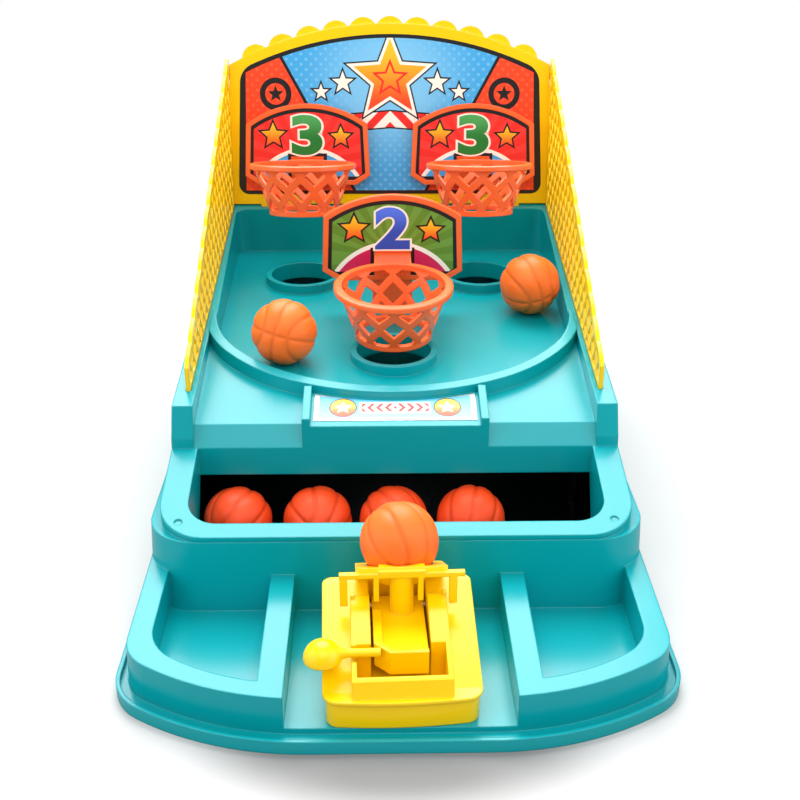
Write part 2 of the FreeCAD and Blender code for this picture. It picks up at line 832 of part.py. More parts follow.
def playfield_moulding():
    """Upper shell."""
    hollow = upper_block(m.shell_wall).cut([basin_space(m.shell_wall), deck_space(m.shell_wall)])
    shell = upper_block(0).cut(deck_space(0)).fuse(lip_and_block()).cut(hollow)
    shell = shell.cut(basin_space(0))
    half = m.upper_foot_half_width - m.shell_wall - m.mould_gap
    wall = block(-half, half, m.front_wall, m.front_wall + m.shell_wall, m.front_wall_foot,
                 m.trough_back_height)
    additions = [wall, trough_rim()]
    bores = []
    for x, y in hole_places():
        floor = basin_floor(y)
        depth = m.collar_height + m.shell_wall + m.collar_skirt
        additions.append(rod(m.collar_radius, (x, y, floor + m.collar_height - depth), (0, 0, 1), depth))
        bores.append(rod(m.hole_radius, (x, y, m.split_height), (0, 0, 1), upper_top - m.split_height))
    for x, y in screw_places():
        top = min(deck_top(y - m.screw_boss_radius), basin_floor(y)) - m.shell_wall / 2
        additions.append(rod(m.screw_boss_radius, (x, y, m.screw_boss_height), (0, 0, 1),
                             top - m.screw_boss_height))
        bores.append(rod(m.screw_shank_radius + m.screw_clearance, (x, y, m.screw_boss_height),
                         (0, 0, 1), m.screw_length))
    tab_half = m.panel_tab_width / 2 + m.panel_tab_clearance
    tab_front = m.panel_foot - m.panel_tab_clearance
    tab_back = m.panel_foot + m.panel_thickness + m.panel_tab_clearance
    lean_shift = m.panel_tab_depth * math.tan(lean)
    for x in (-m.panel_tab_spread, 0, m.panel_tab_spread):
        bores.append(block(x - tab_half, x + tab_half, tab_front - lean_shift, tab_back,
                           panel_foot_height - m.panel_tab_depth, upper_top + m.overrun))
    for side in (-1, 1):
        bores.append(net_slot(side))
    post_half = m.post_tab_width / 2 + m.panel_tab_clearance
    foot = post_foot()
    corners = [post_point(y, z)[0] for y in (m.board_thickness, m.board_thickness + m.post_thickness)
               for z in (foot, foot - m.post_tab_depth)]
    bores.append(block(-post_half, post_half, min(corners) - m.panel_tab_clearance,
                       max(corners) + m.panel_tab_clearance, m.split_height, upper_top))
    return shell.fuse(additions).cut(bores)


def post_point(y, z):
    """Distance and height on the toy of a point in the plane of the front board and its post."""
    tilt = math.radians(m.front_board_lean)
    return (m.front_board + y * math.cos(tilt) + z * math.sin(tilt),
            m.front_board_height - y * math.sin(tilt) + z * math.cos(tilt))


def post_foot():
    """Height, below the front board's foot, at which the post stands just clear of the basin floor."""
    tilt = math.radians(m.front_board_lean)
    floor = basin_floor(post_point(m.board_thickness + m.post_flange, 0)[0])
    return (floor + m.seat_gap - m.front_board_height + m.board_thickness * math.sin(tilt)) / math.cos(tilt)


def net_slot(side):
    """Shallow slot along a rail that takes the foot of a net."""
    gap = m.net_slot_clearance
    half = m.net_thickness / 2 + gap
    front = m.net_front - gap
    back = m.panel_foot - gap
    return side_profile([
        (front, rail_top(front) - m.net_slot_depth), (back, rail_top(back) - m.net_slot_depth),
        (back, upper_top + m.overrun), (front, upper_top + m.overrun),
    ], side * m.net_side - half, side * m.net_side + half)


def front_label():
    """Thin label on the block, cut to the curve of the lip behind it."""
    half = m.block_half_width - m.block_rib - m.print_margin / 4
    front = m.front_wall + m.block_rib
    edges, side = lip_outline(m.lip_width + m.print_margin / 4)
    behind = slab(mirrored_outline(edges + [line(side, (0, m.lip_centre))]), m.split_height, upper_top)
    sheet_space = above(deck_top, -m.block_height, half).cut(
        above(deck_top, -m.block_height - m.print_thickness, m.flange_half_width))
    window = block(-half, half, front, m.lip_centre, m.split_height, upper_top)
    return sheet_space.common(window).cut(behind)


# Yellow panel with its print, drawn upright and then leaned back

def arch_height(x, side_half, side_height, top):
    """Height of a round arch over a half width."""
    rise = top - side_height
    radius = (side_half ** 2 + rise ** 2) / (2 * rise)
    return top - radius + math.sqrt(radius ** 2 - x ** 2)


def panel_outline():
    """Outline of the panel in its own upright plane."""
    foot, side = m.panel_foot_half_width, m.panel_side_half_width
    shoulder, top = m.panel_side_height, m.panel_height
    middle_x = side / 2
    return mirrored_outline([
        line((0, 0), (foot, 0)),
        line((foot, 0), (side, shoulder)),
        arc((side, shoulder), (middle_x, arch_height(middle_x, side, shoulder, top)), (0, top)),
    ])


def round_corner(start, corner, end):
    """Arc that rounds a corner, between two points equally far from it."""
    sine = math.dist(start, end) / 2 / math.dist(start, corner)
    share = 1 / (2 + 2 * sine)
    through = tuple(here + share * (near + far - 2 * here) for near, here, far in zip(start, corner, end))
    return arc(start, through, end)


def print_outline(inset):
    """Outline of the printed sheet: the panel's own, moved inwards, with round corners."""
    foot, side = m.panel_foot_half_width - inset, m.panel_side_half_width - inset
    shoulder, top = m.panel_side_height - inset / 2, m.panel_height - inset
    radius = m.print_corner_radius
    length = math.dist((foot, inset), (side, shoulder))
    along = ((side - foot) / length, (shoulder - inset) / length)

    def arch(x):
        return (x, arch_height(x, side, shoulder, top))

    above_foot = (foot + along[0] * radius, inset + along[1] * radius)
    arch_end = arch(side - radius)
    reach = math.dist(arch_end, (side, shoulder))
    below_arch = (side - along[0] * reach, shoulder - along[1] * reach)
    return mirrored_outline([
        line((0, inset), (foot - radius, inset)),
        round_corner((foot - radius, inset), (foot, inset), above_foot),
        line(above_foot, below_arch),
        round_corner(below_arch, (side, shoulder), arch_end),
        arc(arch_end, arch(arch_end[0] / 2), (0, top)),
    ])


def scallop_outline():
    """Outline of the scalloped layer behind the arch: round lobes over a low straight foot."""
    count = int(m.scallop_count)
    side = m.panel_side_half_width
    pitch = 2 * side / (count + 1)
    lobes = []
    for index in range(count):
        x = (index - (count - 1) / 2) * pitch
        top = arch_height(x, side, m.panel_side_height, m.panel_height) + m.scallop_rise
        lobes.append((x, top - m.scallop_radius))
    return lobes


def make_panel():
    """Panel with feet, pegs, stud holes and scallops."""
    body = new_body("backboard_panel")
    pad(body, "panel_plate", panel_outline(), "Sizes.panel_thickness", toward_front=False)
    for index, x in enumerate((-m.panel_tab_spread, 0, m.panel_tab_spread)):
        half = m.panel_tab_width / 2
        outline = polygon([(x - half, -m.panel_tab_depth + m.panel_tab_clearance),
                           (x + half, -m.panel_tab_depth + m.panel_tab_clearance),
                           (x + half, m.panel_tab_depth), (x - half, m.panel_tab_depth)])
        pad(body, f"foot_tab_{index + 1}", outline, "Sizes.panel_thickness", toward_front=False)
    for index, (x, z) in enumerate(scallop_outline()):
        pad(body, f"scallop_{index + 1}", [circle((x, z), m.scallop_radius)],
            "Sizes.scallop_thickness", "-Sizes.panel_thickness", toward_front=True)
    doc.recompute()
    before = body.Shape.Volume
    stud_holes(body)
    doc.recompute()
    print("stud holes take", round(before - body.Shape.Volume, 2))
    peg = circle((m.panel_thickness / 2, peg_place()[1]), m.peg_radius)
    side = "Sizes.panel_side_half_width - Sizes.peg_length / 4"
    pad(body, "peg_right", [peg], "Sizes.peg_length", side, role="YZ_Plane")
    pad(body, "peg_left", [peg], "Sizes.peg_length", "-(" + side + ")", toward_front=False, role="YZ_Plane")
    place_in_frame(body, m.panel_foot, panel_foot_height, m.panel_lean)
    return body


def stud_holes(body):
    """Holes through the panel or its print for the studs of the rear boards."""
    holes = [circle((side * m.board_spread + stud, m.board_lift + m.board_height / 2),
                    m.stud_radius + m.stud_clearance)
             for side in (-1, 1) for stud in (-m.board_foot_half_width / 2, m.board_foot_half_width / 2)]
    pocket(body, "stud_holes", holes, "Sizes.panel_thickness * 2", "Sizes.panel_thickness / 2")


def peg_place():
    """Point of the panel's side edge, in the panel's own plane, where a peg stands out."""
    height = m.panel_side_height - m.eyelet_radius
    half = m.panel_foot_half_width + (m.panel_side_half_width - m.panel_foot_half_width) \
        * height / m.panel_side_height
    return half, height


def make_print():
    """Printed sheet on the panel."""
    body = new_body("backboard_print")
    pad(body, "print_sheet", print_outline(m.print_margin), "Sizes.print_thickness")
    stud_holes(body)
    place_in_frame(body, m.panel_foot, panel_foot_height, m.panel_lean)


# Side nets

def net_outline():
    """Outline of a net in the Y-Z plane: foot in the rail, steep tip, scalloped long edge, leaning rear."""
    foot_drop = m.net_slot_depth - m.net_slot_clearance
    top = panel_foot_height + m.net_top_height
    tip = (m.net_front, rail_top(m.net_front) + m.net_tip_height)
    rear_top = (net_rear(top), top)
    rear_foot = (net_rear(panel_foot_height), rail_top(net_rear(panel_foot_height)) - foot_drop)
    front_foot = (m.net_front, rail_top(m.net_front) - foot_drop)
    count = int(m.net_scallops)
    along = ((rear_top[0] - tip[0]) / count, (rear_top[1] - tip[1]) / count)
    length = math.hypot(*along)
    out = (-along[1] / length * m.net_scallop_rise, along[0] / length * m.net_scallop_rise)
    edges = [line(rear_top, rear_foot), line(rear_foot, front_foot), line(front_foot, tip)]
    for index in range(count):
        start = (tip[0] + along[0] * index, tip[1] + along[1] * index)
        end = (start[0] + along[0], start[1] + along[1])
        crest = ((start[0] + end[0]) / 2 + out[0], (start[1] + end[1]) / 2 + out[1])
        edges.append(arc(start, crest, end))
    plain = [tip, rear_top, rear_foot, front_foot]
    return edges, plain


def net_holes(plain):
    """Diamond gaps of the lattice that fall inside the net's border."""
    border = Part.Face(wire_of(polygon(plain))).Faces[0]
    window = Part.Face(border.OuterWire.makeOffset2D(-m.net_border - m.net_scallop_rise / 2, 2))
    half_width = (m.net_cell_width - m.net_bar_width) / 2
    half_height = (m.net_cell_height - m.net_bar_width * m.net_cell_height / m.net_cell_width) / 2
    smallest = half_width * half_height * m.net_bar_width / m.net_cell_width
    box = border.BoundBox
    holes = []
    columns = int(box.XLength / m.net_cell_width) + 2
    rows = int(2 * box.YLength / m.net_cell_height) + 2
    for row in range(rows):
        for column in range(columns):
            x = box.XMin + (column + (row % 2) / 2) * m.net_cell_width
            y = box.YMin + row * m.net_cell_height / 2
            cell = Part.Face(wire_of(polygon([(x - half_width, y), (x, y - half_height),
                                              (x + half_width, y), (x, y + half_height)])))
            kept = cell.common(window)
            holes += [face for face in kept.Faces if face.Area > smallest]
    return holes


def make_net(side, name):
    """Flat holed net that stands in its rail's slot and hooks on the panel's peg."""
    edges, plain = net_outline()
    face = Part.Face(wire_of(edges))
    eye_half, eye_height = peg_place()
    centre = (m.panel_foot + eye_height * math.sin(lean) + m.panel_thickness / 2 * math.cos(lean),
              panel_foot_height + eye_height * math.cos(lean) - m.panel_thickness / 2 * math.sin(lean))
    eyelet = rod(m.eyelet_radius, (*centre, 0), (0, 0, 1), m.net_thickness)
    bore = rod(m.peg_radius + m.peg_clearance, (*centre, 0), (0, 0, 1), m.net_thickness)
    plate = face.cut(net_holes(plain)).extrude(Vector(0, 0, m.net_thickness))
    plate = plate.fuse(eyelet).cut(bore)
    upright = FreeCAD.Matrix(0, 0, 1, side * m.net_side - m.net_thickness / 2,
                             1, 0, 0, 0,
                             0, 1, 0, 0,
                             0, 0, 0, 1)
    feature(name, moved(plate, upright))


def moved(shape, matrix):
    """Copy of a shape turned and shifted by a rigid matrix."""
    copy = shape.copy()
    copy.Placement = FreeCAD.Placement(matrix)
    return copy


# Hoop boards, drawn upright with the foot's centre at their origin

def board_outline(inset):
    """Outline of a hoop board: cut lower corners, straight sides and a low arch."""
    foot, side = m.board_foot_half_width - inset / 2, m.board_half_width - inset
    shoulder_half = m.board_shoulder_half_width - inset
    chin, shoulder = m.board_chin + inset / 2, m.board_shoulder - inset / 2
    top = m.board_height - inset
    middle_x = shoulder_half / 2
    return mirrored_outline([
        line((0, inset), (foot, inset)),
        line((foot, inset), (side, chin)),
        line((side, chin), (shoulder_half, shoulder)),
        arc((shoulder_half, shoulder), (middle_x, arch_height(middle_x, shoulder_half, shoulder, top)),
            (0, top)),
    ])


def bracket_slot(grow):
    """Outline of the slot in a board that the bracket's tongue fills."""
    half = m.bracket_width / 2 + grow
    low = m.hoop_height - m.bracket_thickness / 2 - grow
    high = m.hoop_height + m.bracket_thickness / 2 + grow
    return polygon([(-half, low), (half, low), (half, high), (-half, high)])


def make_board(name, place, studs):
    """One hoop board with its recess, slot and studs."""
    body = new_body(name)
    pad(body, "plate", board_outline(0), "Sizes.board_thickness", toward_front=False)
    pocket(body, "print_recess", board_outline(m.board_frame), "Sizes.board_recess")
    pocket(body, "bracket_slot", bracket_slot(m.bracket_clearance), "Sizes.board_thickness")
    if studs:
        rounds = [circle((x, m.board_height / 2), m.stud_radius)
                  for x in (-m.board_foot_half_width / 2, m.board_foot_half_width / 2)]
        pad(body, "studs", rounds, "Sizes.board_gap + Sizes.panel_thickness", "-Sizes.board_thickness",
            toward_front=False)
    place(body)
    return body


def make_board_print(name, place):
    """Printed sheet in a board's recess, notched round the bracket."""
    body = new_body(name)
    pad(body, "sheet", board_outline(m.board_frame + m.bracket_clearance), "Sizes.print_thickness",
        "-Sizes.board_recess")
    notch = polygon([(-m.bracket_width / 2 - m.bracket_clearance, 0),
                     (m.bracket_width / 2 + m.bracket_clearance, 0),
                     (m.bracket_width / 2 + m.bracket_clearance,
                      m.hoop_height + m.bracket_thickness),
                     (-m.bracket_width / 2 - m.bracket_clearance,
                      m.hoop_height + m.bracket_thickness)])
    pocket(body, "bracket_notch", notch, "Sizes.board_thickness", "Sizes.board_thickness / 2")
    place(body)
    return body


# Baskets, drawn with the hoop's centre at the origin and the board behind

def basket_radius(depth):
    """Outer radius of the basket's cone at a depth below the rim."""
    share = depth / m.basket_depth
    top = m.hoop_radius - m.rim_width / 2
    return top + (m.basket_foot_radius - top) * share


def revolved(points):
    """Ring with the given radius and height profile."""
    corners = [Vector(radius, 0, height) for radius, height in points]
    return Part.Face(Part.makePolygon(corners + corners[:1])).revolve(Vector(), Vector(0, 0, 1), 360)


def basket_cell(turn, depth, half_angle, half_depth):
    """Diamond cutter that stands square to the cone at one place of the lattice."""
    radius = basket_radius(depth)
    fall = (basket_radius(m.basket_depth) - basket_radius(0)) / m.basket_depth
    half_width = radius * math.sin(half_angle) - m.basket_bar_width / 2 / math.cos(half_angle)
    half_slant = half_depth - m.basket_bar_width
    reach = m.basket_wall * 2
    along = Vector(fall, 0, -1).normalize()
    across = Vector(0, 1, 0)
    outward = Vector(1, 0, fall).normalize()
    centre = Vector(radius, 0, -depth) + outward * reach
    corners = [centre + across * half_width, centre + along * half_slant,
               centre - across * half_width, centre - along * half_slant]
    cutter = Part.Face(Part.makePolygon(corners + corners[:1])).extrude(outward * (-2.5 * reach))
    cutter.rotate(Vector(), Vector(0, 0, 1), turn)
    return cutter


def basket_shape():
    """Rim, lattice cone, foot ring and the bracket with its tongue."""
    wall = m.basket_wall
    depth = m.basket_depth
    cone = revolved([
        (basket_radius(0), 0), (basket_radius(depth), -depth),
        (basket_radius(depth) - wall, -depth), (basket_radius(0) - wall, 0),
    ])
    count = int(m.basket_cells)
    step = 360 / count
    half_angle = math.radians(step / 2)
    pitch = depth / 3
    cutters = []
    for row in range(3):
        for index in range(count):
            turn = (index + (row % 2) / 2) * step
            cutters.append(basket_cell(turn, pitch * (row + 0.5), half_angle, pitch))
    rim = revolved([
        (m.hoop_radius, m.rim_height / 3), (m.hoop_radius - m.rim_width / 4, m.rim_height / 2),
        (m.hoop_radius - m.rim_width, m.rim_height / 2), (m.hoop_radius - m.rim_width, -m.rim_height / 2),
        (m.hoop_radius - m.rim_width / 4, -m.rim_height / 2), (m.hoop_radius, -m.rim_height / 3),
    ])
    ring_top = m.basket_ring_height - depth
    foot_ring = revolved([
        (m.basket_foot_radius + wall / 2, -depth), (m.basket_foot_radius + wall / 2, ring_top),
        (m.basket_foot_radius - wall, ring_top), (m.basket_foot_radius - wall, -depth),
    ])
    half = m.bracket_width / 2
    start = m.hoop_radius - m.rim_width * 2
    end = m.hoop_reach + m.board_thickness + m.bracket_tongue
    thick = m.bracket_thickness / 2
    bracket = block(-half, half, start, end, -thick, thick)
    bracket = bracket.cut(rod(m.hoop_radius - m.rim_width / 2, (0, 0, -thick), (0, 0, 1), 2 * thick))
    gusset_thickness = m.basket_wall
    gussets = [side_profile([
        (m.hoop_radius - m.rim_width / 2, -thick), (m.hoop_reach, -thick),
        (m.hoop_radius - m.rim_width / 2, -thick * 4),
    ], x - gusset_thickness / 2, x + gusset_thickness / 2) for x in (-half / 2, half / 2)]
    return cone.cut(cutters).fuse([rim, foot_ring, bracket] + gussets)


def place_hoop(side, foot, height, tilt):
    """Placement of a basket whose board stands at a foot point with a tilt."""
    turn = FreeCAD.Rotation(Vector(1, 0, 0), -tilt)
    offset = turn.multVec(Vector(0, -m.hoop_reach, m.hoop_height))
    return FreeCAD.Placement(Vector(side, foot - middle, height) + offset, turn)


def board_foot_on_panel():
    """Foot point of the rear boards, which stand off the panel by a gap and their own thickness."""
    off = m.board_gap + m.board_thickness
    y = m.panel_foot + m.board_lift * math.sin(lean) - off * math.cos(lean)
    z = panel_foot_height + m.board_lift * math.cos(lean) + off * math.sin(lean)
    return y, z


def make_hoops():
    """Three boards, prints and baskets; the rear two hang on the panel, the front one on a post."""
    rear_y, rear_z = board_foot_on_panel()
    hoops = [
        ("left", -m.board_spread, rear_y, rear_z, m.panel_lean, True),
        ("right", m.board_spread, rear_y, rear_z, m.panel_lean, True),
        ("front", 0.0, m.front_board, m.front_board_height, m.front_board_lean, False),
    ]
    basket = basket_shape()
    for name, side, foot, height, tilt, studs in hoops:
        def place(item):
            place_in_frame(item, foot, height, tilt, side)

        make_board("hoop_board_" + name, place, studs)
        make_board_print("board_print_" + name, place)

        def place_basket(item):
            item.Placement = place_hoop(side, foot, height, tilt)

        feature("basket_" + name, basket.copy(), place_basket)


def make_post():
    """Channel-shaped post behind the front board with a tab in the basin floor."""
    back_face = m.board_thickness
    low = post_foot()
    high = m.board_height * m.post_top_share
    half = m.post_width / 2
    plate = side_profile([(back_face, low), (back_face + m.post_thickness, low),
                          (back_face + m.post_thickness, high), (back_face, high)], -half, half)
    flanges = [side_profile([
        (back_face, low), (back_face + m.post_flange, low),
        (back_face + m.post_thickness, high),  (back_face, high),
    ], x, x + m.shell_wall) for x in (-half, half - m.shell_wall)]
    window = Part.Face(wire_of(bracket_slot(m.bracket_clearance)))
    window.rotate(Vector(), Vector(1, 0, 0), 90)
    window.translate(Vector(0, m.post_flange + back_face, 0))
    window = window.extrude(Vector(0, -2 * (m.post_flange + back_face), 0))
    tab_half = m.post_tab_width / 2
    tab = side_profile([
        (back_face, low), (back_face + m.post_thickness, low),
        (back_face + m.post_thickness, low - m.post_tab_depth), (back_face, low - m.post_tab_depth),
    ], -tab_half, tab_half)
    shape = plate.fuse(flanges + [tab]).cut(window)
    feature("hoop_post", shape, lambda item: place_in_frame(
        item, m.front_board, m.front_board_height, m.front_board_lean))


# Launcher, drawn about the swivel axis with the apron floor at Z = 0

def flank_top(y):
    """Height of the housing's flanks: level at the front lip, then rising, then level at the rear."""
    rising = m.housing_front_height + m.housing_slope * max(0, y + m.housing_front_corner)
    return min(rising, m.housing_rear_height)


def block_top(y):
    """Height of the raised block round the well."""
    return m.housing_front_height + m.block_front_rise + m.housing_slope * (y + m.block_front_set)


def housing_outline(inset):
    """Plan outline of the housing: a slightly bowed front with round corners, straight sides."""
    half = m.housing_half_width - inset
    front = -m.housing_front_bow + inset
    radius = m.housing_corner_radius - inset
    shoulder = front + m.housing_front_sagitta
    back = m.housing_back - inset
    corner_x, corner_y = half - radius, shoulder + radius
    far = m.housing_back_radius - inset
    share = 1 - math.sqrt(0.5)
    bow = (corner_x ** 2 + m.housing_front_sagitta ** 2) / (2 * m.housing_front_sagitta)
    mid_x = corner_x / 2
    return mirrored_outline([
        arc((0, front), (mid_x, front + bow - math.sqrt(bow ** 2 - mid_x ** 2)), (corner_x, shoulder)),
        arc((corner_x, shoulder), (half - radius * share, shoulder + radius * share), (half, corner_y)),
        line((half, corner_y), (half, back - far)),
        arc((half, back - far), (half - far * share, back - far * share), (half - far, back)),
        line((half - far, back), (0, back)),
    ])


def under_flanks(drop, front, back, half):
    """Space from the apron up to the housing's flanks, less a drop."""
    bend = -m.housing_front_corner
    level = bend + (m.housing_rear_height - m.housing_front_height) / m.housing_slope
    return side_profile([(front, 0)] + [(y, flank_top(y) - drop) for y in (front, bend, level, back)]
                        + [(back, 0)], -half, half)


def launcher_housing():
    """Wedge housing with skirt, flange, raised block, well, swivel spigot and pin holes."""
    reach = m.housing_front_bow + m.overrun
    tall = block_top(m.housing_back) + m.overrun
    skirt = slab(housing_outline(m.housing_skirt_inset), 0, tall)
    skirt = skirt.common(under_flanks(0, -reach, m.housing_back, m.housing_half_width))
    flange = slab(housing_outline(0), 0, tall).common(
        under_flanks(0, -reach, m.housing_back, m.housing_half_width))
    flange = flange.cut(under_flanks(m.housing_flange, -reach - m.overrun,
                                     m.housing_back + m.overrun, m.housing_half_width + m.overrun))
    raised = side_profile([
        (-m.housing_front_bow + m.housing_wall / 2, m.housing_front_height / 2),
        (-m.block_front_set, block_top(-m.block_front_set)),
        (m.block_back, block_top(m.block_back)),
        (m.block_back, m.housing_front_height / 2),
    ], -m.block_side, m.block_side).common(slab(housing_outline(m.housing_skirt_inset), 0, tall))
    outside = skirt.fuse([flange, raised])
    wall = m.housing_wall
    hollow = slab(housing_outline(m.housing_skirt_inset + wall), -m.overrun, tall).common(
        under_flanks(wall, -reach, m.housing_back, m.housing_half_width))
    well_front = -m.block_front_set + wall
    front_well = block(-m.well_half_width, m.well_half_width, well_front, -m.slot_front,
                       m.well_floor, tall)
    rear_well = block(-m.slot_half_width, m.slot_half_width, well_front,
                      m.housing_back - m.housing_skirt_inset - wall, m.well_floor, tall)
    bowl_gap = Part.makeSphere(ball_radius + m.ball_seat_gap + m.bowl_wall + 2 * m.housing_clearance,
                               Vector(m.cup_side, m.bowl_back, m.bowl_height))
    around_well = block(-m.well_half_width - wall, m.well_half_width + wall, well_front - wall,
                        m.housing_back + m.overrun, m.well_floor - wall, tall)
    rail_core = block(-m.block_side, m.block_side, -m.slot_front - wall, m.block_back, 0, tall)
    shell = outside.cut(hollow.cut(around_well.fuse(rail_core)))
    pin_walls = [block(x, x + m.housing_wall * 2, m.pin_back - m.pin_radius * 3,
                       m.pin_back + m.pin_radius * 3, 0, m.pin_height + m.pin_radius * 3)
                 for x in (m.slot_half_width, -m.slot_half_width - m.housing_wall * 2)]
    boss = rod(m.spigot_radius + wall, (0, 0, 0), (0, 0, 1), m.well_floor)
    spigot = rod(m.spigot_radius, (0, 0, -spigot_length()), (0, 0, 1), spigot_length() + wall)
    knob_slot = block(-m.housing_half_width, -m.well_half_width + m.overrun,
                      -m.knob_front - m.knob_rod_radius * 2, -m.knob_front + m.knob_rod_radius * 2,
                      m.pad_height - m.knob_travel - m.knob_rod_radius * 2, tall)
    pilot = rod(m.swivel_screw_radius + m.pin_clearance, (0, 0, -spigot_length()), (0, 0, 1),
                m.swivel_screw_length)
    pin_hole = rod(m.pin_radius + m.pin_clearance, (-m.pin_half_length, m.pin_back, m.pin_height), (1, 0, 0),
                   2 * m.pin_half_length)
    bumps = [block(x, x + m.post_bump, m.block_back - m.post_bump, m.block_back + m.post_bump / 2,
                   m.well_floor, block_top(m.block_back) + m.post_bump / 2)
             for x in (-m.block_side, m.block_side - m.post_bump)]
    shell = shell.fuse(pin_walls + bumps).cut([front_well, rear_well, bowl_gap]).fuse([boss, spigot])
    return shell.cut([knob_slot.common(above_flanks()), pilot, pin_hole])


def above_flanks():
    """Space over the housing's flanks, so that the knob's slot opens only the raised block."""
    back = m.housing_back
    return side_profile([(-m.housing_front_bow, flank_top(-m.housing_front_bow)),
                         (back, flank_top(back)), (back, block_top(back) + m.overrun),
                         (-m.housing_front_bow, block_top(back) + m.overrun)],
                        -m.housing_half_width, m.housing_half_width)


def spigot_length():
    """Length of the spigot through the apron floor, with running clearance."""
    return m.shell_wall + 2 * m.housing_clearance


def swivel_washer():
    """Washer under the apron floor."""
    top = -spigot_length()
    ring = rod(m.washer_radius, (0, 0, top - m.washer_thickness), (0, 0, 1), m.washer_thickness)
    return ring.cut(rod(m.swivel_screw_radius + m.pin_clearance, (0, 0, top - m.washer_thickness),
                        (0, 0, 1), m.washer_thickness))


def swivel_screw():
    """Screw from below into the spigot."""
    seat = -spigot_length() - m.washer_thickness
    head = rod(m.swivel_screw_head_radius, (0, 0, seat - m.swivel_screw_head_height), (0, 0, 1),
               m.swivel_screw_head_height)
    shank = rod(m.swivel_screw_radius, (0, 0, seat), (0, 0, 1), m.swivel_screw_length)
    return head.fuse(shank)


def tilted_cup(shape):
    """Turns a shape drawn about the bowl's centre to the cup's tilt and moves it there."""
    turn = FreeCAD.Rotation(Vector(1, 0, 0), -m.cup_tilt)
    copy = shape.copy()
    copy.Placement = FreeCAD.Placement(Vector(m.cup_side, m.bowl_back, m.bowl_height), turn)
    return copy


def cup_shape(inner, outer):
    """Shallow dish with a square rim plate, tilted away from the player."""
    reach = 2 * outer
    below = block(-reach, reach, -reach, reach, -reach, -m.cup_drop)
    dish = Part.makeSphere(outer).common(below)
    outline = rounded_rectangle(m.cup_half_width, -m.cup_half_depth, m.cup_half_depth, m.cup_corner)
    plate = slab(outline, -m.cup_drop - m.cup_plate, -m.cup_drop)
    return tilted_cup(dish.fuse(plate).cut(Part.makeSphere(inner)))


def arm_pad():
    """Finger pad with raised walls at its left and front, and a deep nose."""
    half, front, back = m.pad_half_width, -m.pad_front, m.pad_back
    top = m.pad_height
    nose, wall = m.pad_nose, m.shell_wall
    outer = [(-half, back), (-half, front + nose), (-half + nose, front), (half, front)]
    inner = [(half, front + wall), (-half + nose + wall / 2, front + wall),
             (-half + m.pad_wall, front + nose + wall / 2), (-half + m.pad_wall, back)]
    plate = slab(polygon(outer + [(half, back)]), top - m.pad_thickness, top)
    walls = slab(polygon(outer + inner), top - m.pad_thickness, top + m.pad_wall_height)
    deep = slab(polygon(outer[1:] + inner[:3]), top - m.pad_nose_depth, top)
    return [plate, walls, deep]


def arm_yoke():
    """Cross bar under the cup with two long and two short legs, and its head block."""
    top = m.yoke_top
    front, back = m.yoke_front, m.yoke_front + m.yoke_depth
    bar = block(m.cup_side - m.yoke_half_width, m.cup_side + m.yoke_half_width, front, back,
                top - m.yoke_height, top)
    head = block(m.cup_side - m.cup_half_width / 2, m.cup_side + m.cup_half_width / 2, front,
                 back + m.cup_plate, top - m.yoke_height, top + m.cup_corner / 2)
    legs = []
    for side in (-1, 1):
        for outer_edge, width, length in ((m.outer_leg_side, m.outer_leg_width, m.outer_leg_length),
                                          (m.inner_leg_side, m.inner_leg_width, m.inner_leg_length)):
            edges = sorted((side * outer_edge, side * (outer_edge - width)))
            legs.append(block(edges[0], edges[1], front, back, top - m.yoke_height - length, top))
    return [bar, head] + legs


def throw_arm():
    """Finger pad, column, cup and yoke in one moulding."""
    top = m.pad_height
    inner = ball_radius + m.ball_seat_gap
    outer = inner + m.bowl_wall
    column_back = m.pin_back + m.arm_boss_radius
    side = m.column_half_width
    column_top = m.yoke_top + m.cup_corner / 2
    column = slab(polygon([(m.cup_side - side, m.pad_back + side), (m.cup_side - side, m.pad_back),
                           (m.cup_side + side, m.pad_back), (m.cup_side + side, m.pad_back + side)]),
                  top - m.pad_thickness, column_top)
    round_front = rod(side, (m.cup_side, m.pad_back + side / 2, top - m.pad_thickness), (0, 0, 1),
                      column_top - top + m.pad_thickness)
    web = side_profile([
        (m.pad_back - m.pad_thickness, top - m.pad_thickness), (m.pad_back - m.pad_thickness, top),
        (m.pad_back, top), (m.pad_back, column_top), (m.pad_back + side, column_top),
        (column_back, m.bowl_height - inner - m.bowl_wall / 2),
        (column_back, m.pin_height), (m.pin_back, m.pin_height - m.arm_boss_radius),
    ], m.cup_side - side / 2, m.cup_side + side / 2)
    heel = side_profile([
        (m.pad_back - m.pad_thickness, top - m.pad_thickness), (m.pad_back - m.pad_thickness, top),
        (m.pin_back, m.pin_height + m.arm_boss_radius), (m.pin_back, m.pin_height),
    ], -m.pad_half_width, m.pad_half_width)
    boss = rod(m.arm_boss_radius, (-m.pad_half_width, m.pin_back, m.pin_height), (1, 0, 0),
               2 * m.pad_half_width)
    pieces = arm_pad() + arm_yoke() + [column, round_front, web, heel, boss]
    arm = cup_shape(inner, outer).fuse(pieces)
    bore = rod(m.pin_radius + m.pin_clearance, (-m.pin_half_length, m.pin_back, m.pin_height), (1, 0, 0),
               2 * m.pin_half_length)
    socket = rod(m.knob_rod_radius + m.pin_clearance, (-m.pad_half_width, -m.knob_front, m.knob_height),
                 (1, 0, 0), m.knob_rod_depth)
    hollow = tilted_cup(Part.makeSphere(inner))
    return arm.cut([hollow, bore, socket])


